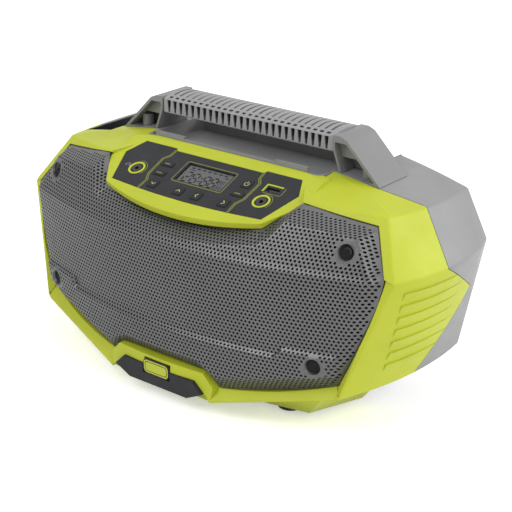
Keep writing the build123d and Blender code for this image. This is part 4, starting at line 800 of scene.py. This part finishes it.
def arc_line(x, v, radius, first, last, steps):
    """Points of an arc about (x, v); angles in degrees."""
    turns = [math.radians(first + (last - first) * k / steps) for k in range(steps + 1)]
    return [(x + radius * math.cos(turn), v + radius * math.sin(turn)) for turn in turns]


def print_bands(name, bands, material, low=0.0, body="radio", thickness=ink):
    """One printed mark made of bands, each given as (points, width, closed)."""
    bm = bmesh.new()
    for points, width, closed in bands:
        add_band(bm, points, width, low - ink_foot, low + thickness, closed)
    bmesh.ops.recalc_face_normals(bm, faces=bm.faces)
    make_object(name, bm, [material], body)


def build_slab(name, low, high, material):
    """Thin closed plate between two outlines with the same number of points, in metres."""
    bm = bmesh.new()
    low = [bm.verts.new(point) for point in low]
    high = [bm.verts.new(point) for point in high]
    bm.faces.new(high)
    bm.faces.new(low[::-1])
    for k in range(len(low)):
        following = (k + 1) % len(low)
        bm.faces.new((low[k], low[following], high[following], high[k]))
    bmesh.ops.recalc_face_normals(bm, faces=bm.faces)
    make_object(name, bm, [material])


def build_dividers():
    """Pairs of thin lines on each side of the display, and the display's frame."""
    for side, label in ((-1, "left"), (1, "right")):
        bands = []
        for edge in reversed(band_sides(divider_line, divider_gap, False)):
            bands.append(([(side * p.x, p.y) for p in edge], divider_width, False))
        print_bands(f"divider_{label}", bands, materials["lime_line"])
    bands = [(rounded(*frame_box, frame_corner), frame_width, True),
             (frame_sill, frame_sill_width, False)]
    print_bands("display_frame", bands, materials["lime_line"])


def build_port_marks():
    """Marks round the USB port and the two jacks."""
    print_bands("usb_bracket", [(usb_corner, usb_corner_width, False)], materials["lime_shell"],
                thickness=usb_corner_rise)
    print_bands("usb_outline", [(usb_trace, trace_width, False)], materials["lime_line"])
    for side, label in ((-1, "headphone"), (1, "audio_in")):
        arc = arc_line(side * jack_place[0], jack_place[1], *jack_arc)
        print_bands(f"{label}_outline", [(arc, trace_width, False)], materials["lime_line"])


def build_icons():
    """Plain symbols on the keys: arrows, bars and the power sign; and one by the headphone jack."""
    for key, (x, v, shape) in arrows.items():
        points = [(x + dx * arrow_half, v + dv * arrow_half) for dx, dv in shape]
        print_bands(key.replace("key", "arrow"), [(points, arrow_width, False)],
                    materials["icon_print"], low=key_face, body=key)
    bands = [(arc_line(*power_ring), power_width, False), (power_stroke, power_width, False)]
    print_bands("power_sign", bands, materials["icon_print"], low=key_face,
                body="key_power")
    for key, (x, v) in bar_places.items():
        bar = [(x - bar_half, v), (x + bar_half, v)]
        print_bands(key.replace("key", "bar"), [(bar, bar_width, False)], materials["lime_line"],
                    low=key_face, body=key)
    bands = [(arc_line(*headband), headband_width, False)]
    bands += [(cup, ear_cup_width, False) for cup in ear_cups]
    print_bands("headphone_sign", bands, materials["pale_print"])


# Lit segments: 0 top, 1 upper right, 2 lower right, 3 bottom, 4 lower left, 5 upper left, 6 middle.
lit_segments = {"2": "01643", "8": "0123456"}


def digit_bands(text, x, v, width, height, gap, stroke):
    """Bands of a row of seven-segment digits and colons."""
    bands = []
    for letter in text:
        if letter == ":":
            for level in colon_levels:
                middle = v + height * level
                left = x - stroke / 2 + digit_lean * middle
                bands.append(([(left, middle), (left + stroke, middle)], stroke, False))
            x += gap + stroke
            continue
        inset = stroke * segment_trim
        half = height / 2
        corners = {
            "0": ((inset, height), (width - inset, height)),
            "1": ((width, height - inset), (width, half + inset)),
            "2": ((width, half - inset), (width, inset)),
            "3": ((inset, 0), (width - inset, 0)),
            "4": ((0, half - inset), (0, inset)),
            "5": ((0, height - inset), (0, half + inset)),
            "6": ((inset, half), (width - inset, half)),
        }
        for segment in lit_segments[letter]:
            ends = [(x + px + digit_lean * pv, v + pv) for px, pv in corners[segment]]
            bands.append((ends, stroke, False))
        x += width + gap
    return bands


def build_display():
    """Dark segments on the display: a time, small marks over it and a small block beside it."""
    outline = rounded(*lcd_box, lcd_corner)
    low, high = [[panel_place(x, v, display_face + level) for x, v in outline]
                 for level in lcd_levels]
    build_slab("display_face", low, high, materials["lcd"])
    bands = []
    for row in digit_rows:
        bands += digit_bands(*row)
    for index in range(dash_count):
        x = dash_start + index * dash_pitch
        bands.append(([(x, dash_row), (x + dash_length, dash_row)], dash_width, False))
    bands += [(points, width, False) for points, width in short_marks]
    print_bands("display_segments", bands, materials["lcd_ink"],
                low=display_face + segment_level, thickness=segment_rise)


def build_pad_face():
    """Bare lime face on the small pad over the plate: a panel with a dark line let into it."""
    left, right, foot, head = pad_box
    for name, inset, finish, front in pad_layers:
        outline = rounded(left + inset, right - inset, foot + inset, head - inset,
                          pad_corner - inset * pad_corner_fall)
        behind, ahead = [[(x * MM, (pad_front + level) * MM, z * MM) for x, z in outline]
                         for level in (pad_foot, front)]
        build_slab(name, behind, ahead, materials[finish])


build_pad_face()
build_dividers()
build_port_marks()
build_icons()
build_display()

# ------------------------------------------------------------------ grip

grip_half = 89.1
grip_columns = 1040
grip_pitch = 6.62
grip_count = 26
grip_front = 16.9
grip_back = 54.1
grip_middle = (grip_front + grip_back) / 2
grip_bottom = 199.7
grip_crown = 212.9
grip_top = 216.4
grip_fold = 50

# Rounding at the foot and the shoulder as steps in (y, z), then the straight wall and the crown.
foot_round = [(2.2, 0.0), (0.9, 0.25), (0.2, 0.9)]
shoulder_round = [(0.12, -0.7), (0.45, -0.2), (0.9, 0.15)]
wall_start = 1.3
wall_stop = 0.9
wall_step = 0.4
crown_start = 1.3
crown_step = 0.45
# Rounding at the sleeve's ends: distance from the end, and how much smaller the section is there.
end_round = [(0.0, 0.8), (0.15, 0.3), (0.5, 0.05)]
end_land = 1.0

soft_edge = 0.3
# Slots down the sides widen and deepen from foot to head: the foot's value and the gain.
slot_foot = 201.0
slot_head = 211.4
slot_top = grip_crown - 0.6
slot_from_middle = 17.0
slot_fade = 0.1
slot_half = (0.75, 1.05)
slot_sink = (2.6, 1.9)
# Dashes and grooves over the crown: half width, half length and depth.
crown_dash = (1.8, 1.05, 1.4)
crown_dash_place = 15.3
crown_groove = (1.0, 11.6, 1.3)
# Faces sunk deeper than this get painted shade, the darkest high in the slots and in the dashes.
painted_shade_sink = 0.45
slot_shade = 205.2
dash_shade = 13.5


def grip_section():
    """Outline of the grip in (y, z), from the front foot over the crown to the rear foot."""
    points = [(grip_front + dy, grip_bottom + dz) for dy, dz in foot_round]
    z = grip_bottom + wall_start
    while z < grip_crown - wall_stop:
        points.append((grip_front, z))
        z += wall_step
    points += [(grip_front + dy, grip_crown + dz) for dy, dz in shoulder_round]
    inward, rise = shoulder_round[-1]
    half = grip_middle - grip_front - inward
    y = grip_front + crown_start
    while y < grip_middle:
        share = (grip_middle - y) / half
        points.append((y, grip_top - (grip_top - grip_crown - rise) * share ** 2))
        y += crown_step
    mirror = [(2 * grip_middle - y, z) for y, z in reversed(points)]
    points.append((grip_middle, grip_top))
    return points + mirror


def soft_box(value, half):
    """1 within half of zero, falling to 0 over a soft edge."""
    return float(np.clip((half - abs(value)) / soft_edge + 0.5, 0.0, 1.0))


def grip_sink(x, y, z):
    """How far the grip's skin is sunk at a point: front and rear slots, dashes and top grooves."""
    phase = (x + grip_pitch / 2 * ((grip_count + 1) % 2)) % grip_pitch
    offset = phase - grip_pitch if phase > grip_pitch / 2 else phase
    if abs(x) > grip_count * grip_pitch / 2:
        return 0.0
    across = abs(y - grip_middle)
    sink = 0.0
    if z < slot_top and across > slot_from_middle:
        rise = (z - slot_foot) / (slot_head - slot_foot)
        if -slot_fade < rise < 1 + slot_fade:
            share = min(max(rise, 0.0), 1.0)
            half, depth = [foot + gain * share for foot, gain in (slot_half, slot_sink)]
            within = soft_box(z - (slot_foot + slot_head) / 2, (slot_head - slot_foot) / 2)
            sink = soft_box(offset, half) * within * depth
    elif z > grip_crown:
        for (half, run, depth), place in ((crown_dash, crown_dash_place), (crown_groove, 0.0)):
            sink += soft_box(offset, half) * soft_box(across - place, run) * depth
    return sink


def build_grip():
    """Ribbed rubber grip, with slots down both sides and grooves over its crowned top, and painted
    shade in their deep faces.
    """
    section = grip_section()
    count = len(section)
    normals = []
    for index in range(count):
        y0, z0 = section[index - 1] if index else section[0]
        y1, z1 = section[index + 1] if index + 1 < count else section[-1]
        length = math.hypot(y1 - y0, z1 - z0) or 1.0
        normals.append((-(z1 - z0) / length, (y1 - y0) / length))
    columns_x = [-grip_half + inset for inset, _ in end_round]
    run = 2 * grip_half - 2 * end_land
    columns_x += [-grip_half + end_land + run * k / grip_columns for k in range(grip_columns + 1)]
    columns_x += [grip_half - inset for inset, _ in reversed(end_round)]
    bm = bmesh.new()
    grid = []
    for index, x in enumerate(columns_x):
        from_end = min(index, len(columns_x) - 1 - index)
        shrink = end_round[from_end][1] if from_end < len(end_round) else 0.0
        line = []
        for (y, z), (ny, nz) in zip(section, normals):
            sink = grip_sink(x, y, z) + shrink
            line.append(bm.verts.new((x * MM, (y - ny * sink) * MM, (z - nz * sink) * MM)))
        grid.append(line)
    for index, (first, second) in enumerate(zip(grid, grid[1:])):
        x = (columns_x[index] + columns_x[index + 1]) / 2
        for k in range(count):
            following = (k + 1) % count
            face = bm.faces.new((first[k], second[k], second[following], first[following]))
            y = (section[k][0] + section[following][0]) / 2
            z = (section[k][1] + section[following][1]) / 2
            # Deep faces get painted shade: the darkest high in the slots and in the dashes, a
            # lighter one in the grooves and low in the slots.
            if grip_sink(x, y, z) > painted_shade_sink:
                in_slot = slot_shade < z < slot_top
                in_dash = abs(y - grip_middle) > dash_shade and z > grip_crown
                face.material_index = 1 if in_slot or in_dash else 2
    bm.faces.new(grid[0])
    bm.faces.new(grid[-1][::-1])
    bmesh.ops.recalc_face_normals(bm, faces=bm.faces)
    for face in bm.faces:
        face.smooth = len(face.verts) == 4
    rubber_and_painted_shades = [materials["grip_rubber"], materials["grip_slot_painted_shade"], materials["grip_groove_painted_shade"]]
    grip = make_object("grip_ribbed", bm, rubber_and_painted_shades)
    grip.data.set_sharp_from_angle(angle=math.radians(grip_fold))
    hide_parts("grip_sleeve")


build_grip()

# ------------------------------------------------------------------ floor, light and camera

# In metres.
floor_half = 6.0
floor_drop = 0.0005
floor_rough = 0.9
floor_specular = 0.1
floor_tint = (0.88, 0.91)
floor_lift = 0.45
world_light = 0.46
camera_azimuth = 38.84
camera_elevation = 22.02
camera_place = (0.6762, -0.8078, 0.5211)
camera_lens = 95.31
camera_sensor = 36.0
camera_range = (0.01, 50.0)


def seen_directly(tree, hidden, seen):
    """Value for light bouncing about, and another for what the camera, gloss and glass show."""
    paths = tree.nodes.new("ShaderNodeLightPath")
    total = paths.outputs["Is Camera Ray"]
    for kind in ("Is Glossy Ray", "Is Transmission Ray"):
        largest = tree.nodes.new("ShaderNodeMath")
        largest.operation = "MAXIMUM"
        tree.links.new(total, largest.inputs[0])
        tree.links.new(paths.outputs[kind], largest.inputs[1])
        total = largest.outputs[0]
    span = tree.nodes.new("ShaderNodeMapRange")
    span.inputs["To Min"].default_value = hidden
    span.inputs["To Max"].default_value = seen
    tree.links.new(total, span.inputs["Value"])
    return span.outputs["Result"]


def floor():
    """Plain pale floor, white to the camera and with the radio's shadow on it."""
    mesh = bpy.data.meshes.new("floor")
    signs = ((-1, -1), (1, -1), (1, 1), (-1, 1))
    corners = [(sx * floor_half, sy * floor_half, 0) for sx, sy in signs]
    mesh.from_pydata(corners, [], [(0, 1, 2, 3)])
    obj = bpy.data.objects.new("floor", mesh)
    bpy.context.scene.collection.objects.link(obj)
    obj.location.z = -floor_drop
    material, tree, shader = new_material("floor_white")
    shader.inputs["Roughness"].default_value = floor_rough
    shader.inputs["Specular IOR Level"].default_value = floor_specular
    tint = ramp(tree, noise(tree, *floor_noise), *[(value,) * 3 for value in floor_tint])
    tree.links.new(tint, shader.inputs["Base Color"])
    shader.inputs["Emission Color"].default_value = (1, 1, 1, 1)
    tree.links.new(seen_directly(tree, 0.0, floor_lift), shader.inputs["Emission Strength"])
    mesh.materials.append(material)


floor()

world = bpy.data.worlds.new("studio")
bpy.context.scene.world = world
world.use_nodes = True
background = world.node_tree.nodes["Background"]
background.inputs["Color"].default_value = (1, 1, 1, 1)
strength = seen_directly(world.node_tree, world_light, 1.0)
world.node_tree.links.new(strength, background.inputs["Strength"])


def lamp(name, place, target, width, height, power):
    """Soft rectangular lamp aimed at a point."""
    data = bpy.data.lights.new(name, "AREA")
    data.shape = "RECTANGLE"
    data.size = width
    data.size_y = height
    data.energy = power
    obj = bpy.data.objects.new(name, data)
    bpy.context.scene.collection.objects.link(obj)
    obj.location = place
    aim = Vector(target) - Vector(place)
    obj.rotation_mode = "QUATERNION"
    obj.rotation_quaternion = aim.to_track_quat("-Z", "Y")


lamp("key_light", (-0.5, -1.5, 1.7), (0, 0, 0.1), 1.2, 1.2, 19.0)
lamp("side_light", (2.1, -0.4, 1.3), (0.1, 0, 0.1), 1.2, 1.2, 12.0)
lamp("rim_light", (1.7, 1.2, 1.2), (0.1, 0, 0.1), 1.2, 1.0, 20.0)
lamp("top_light", (0.0, 0.5, 2.1), (0, 0, 0.1), 1.6, 1.2, 5.0)

camera_data = bpy.data.cameras.new("camera")
camera_data.sensor_width = camera_sensor
camera_data.lens = camera_lens
camera = bpy.data.objects.new("camera", camera_data)
bpy.context.scene.collection.objects.link(camera)
azimuth = math.radians(camera_azimuth)
elevation = math.radians(camera_elevation)
level = math.cos(elevation)
back = Vector((math.sin(azimuth) * level, -math.cos(azimuth) * level, math.sin(elevation)))
camera.rotation_mode = "QUATERNION"
camera.rotation_quaternion = (-back).to_track_quat("-Z", "Y")
camera.location = camera_place
camera_data.clip_start, camera_data.clip_end = camera_range
bpy.context.scene.camera = camera

bpy.context.scene.view_settings.view_transform = "Standard"
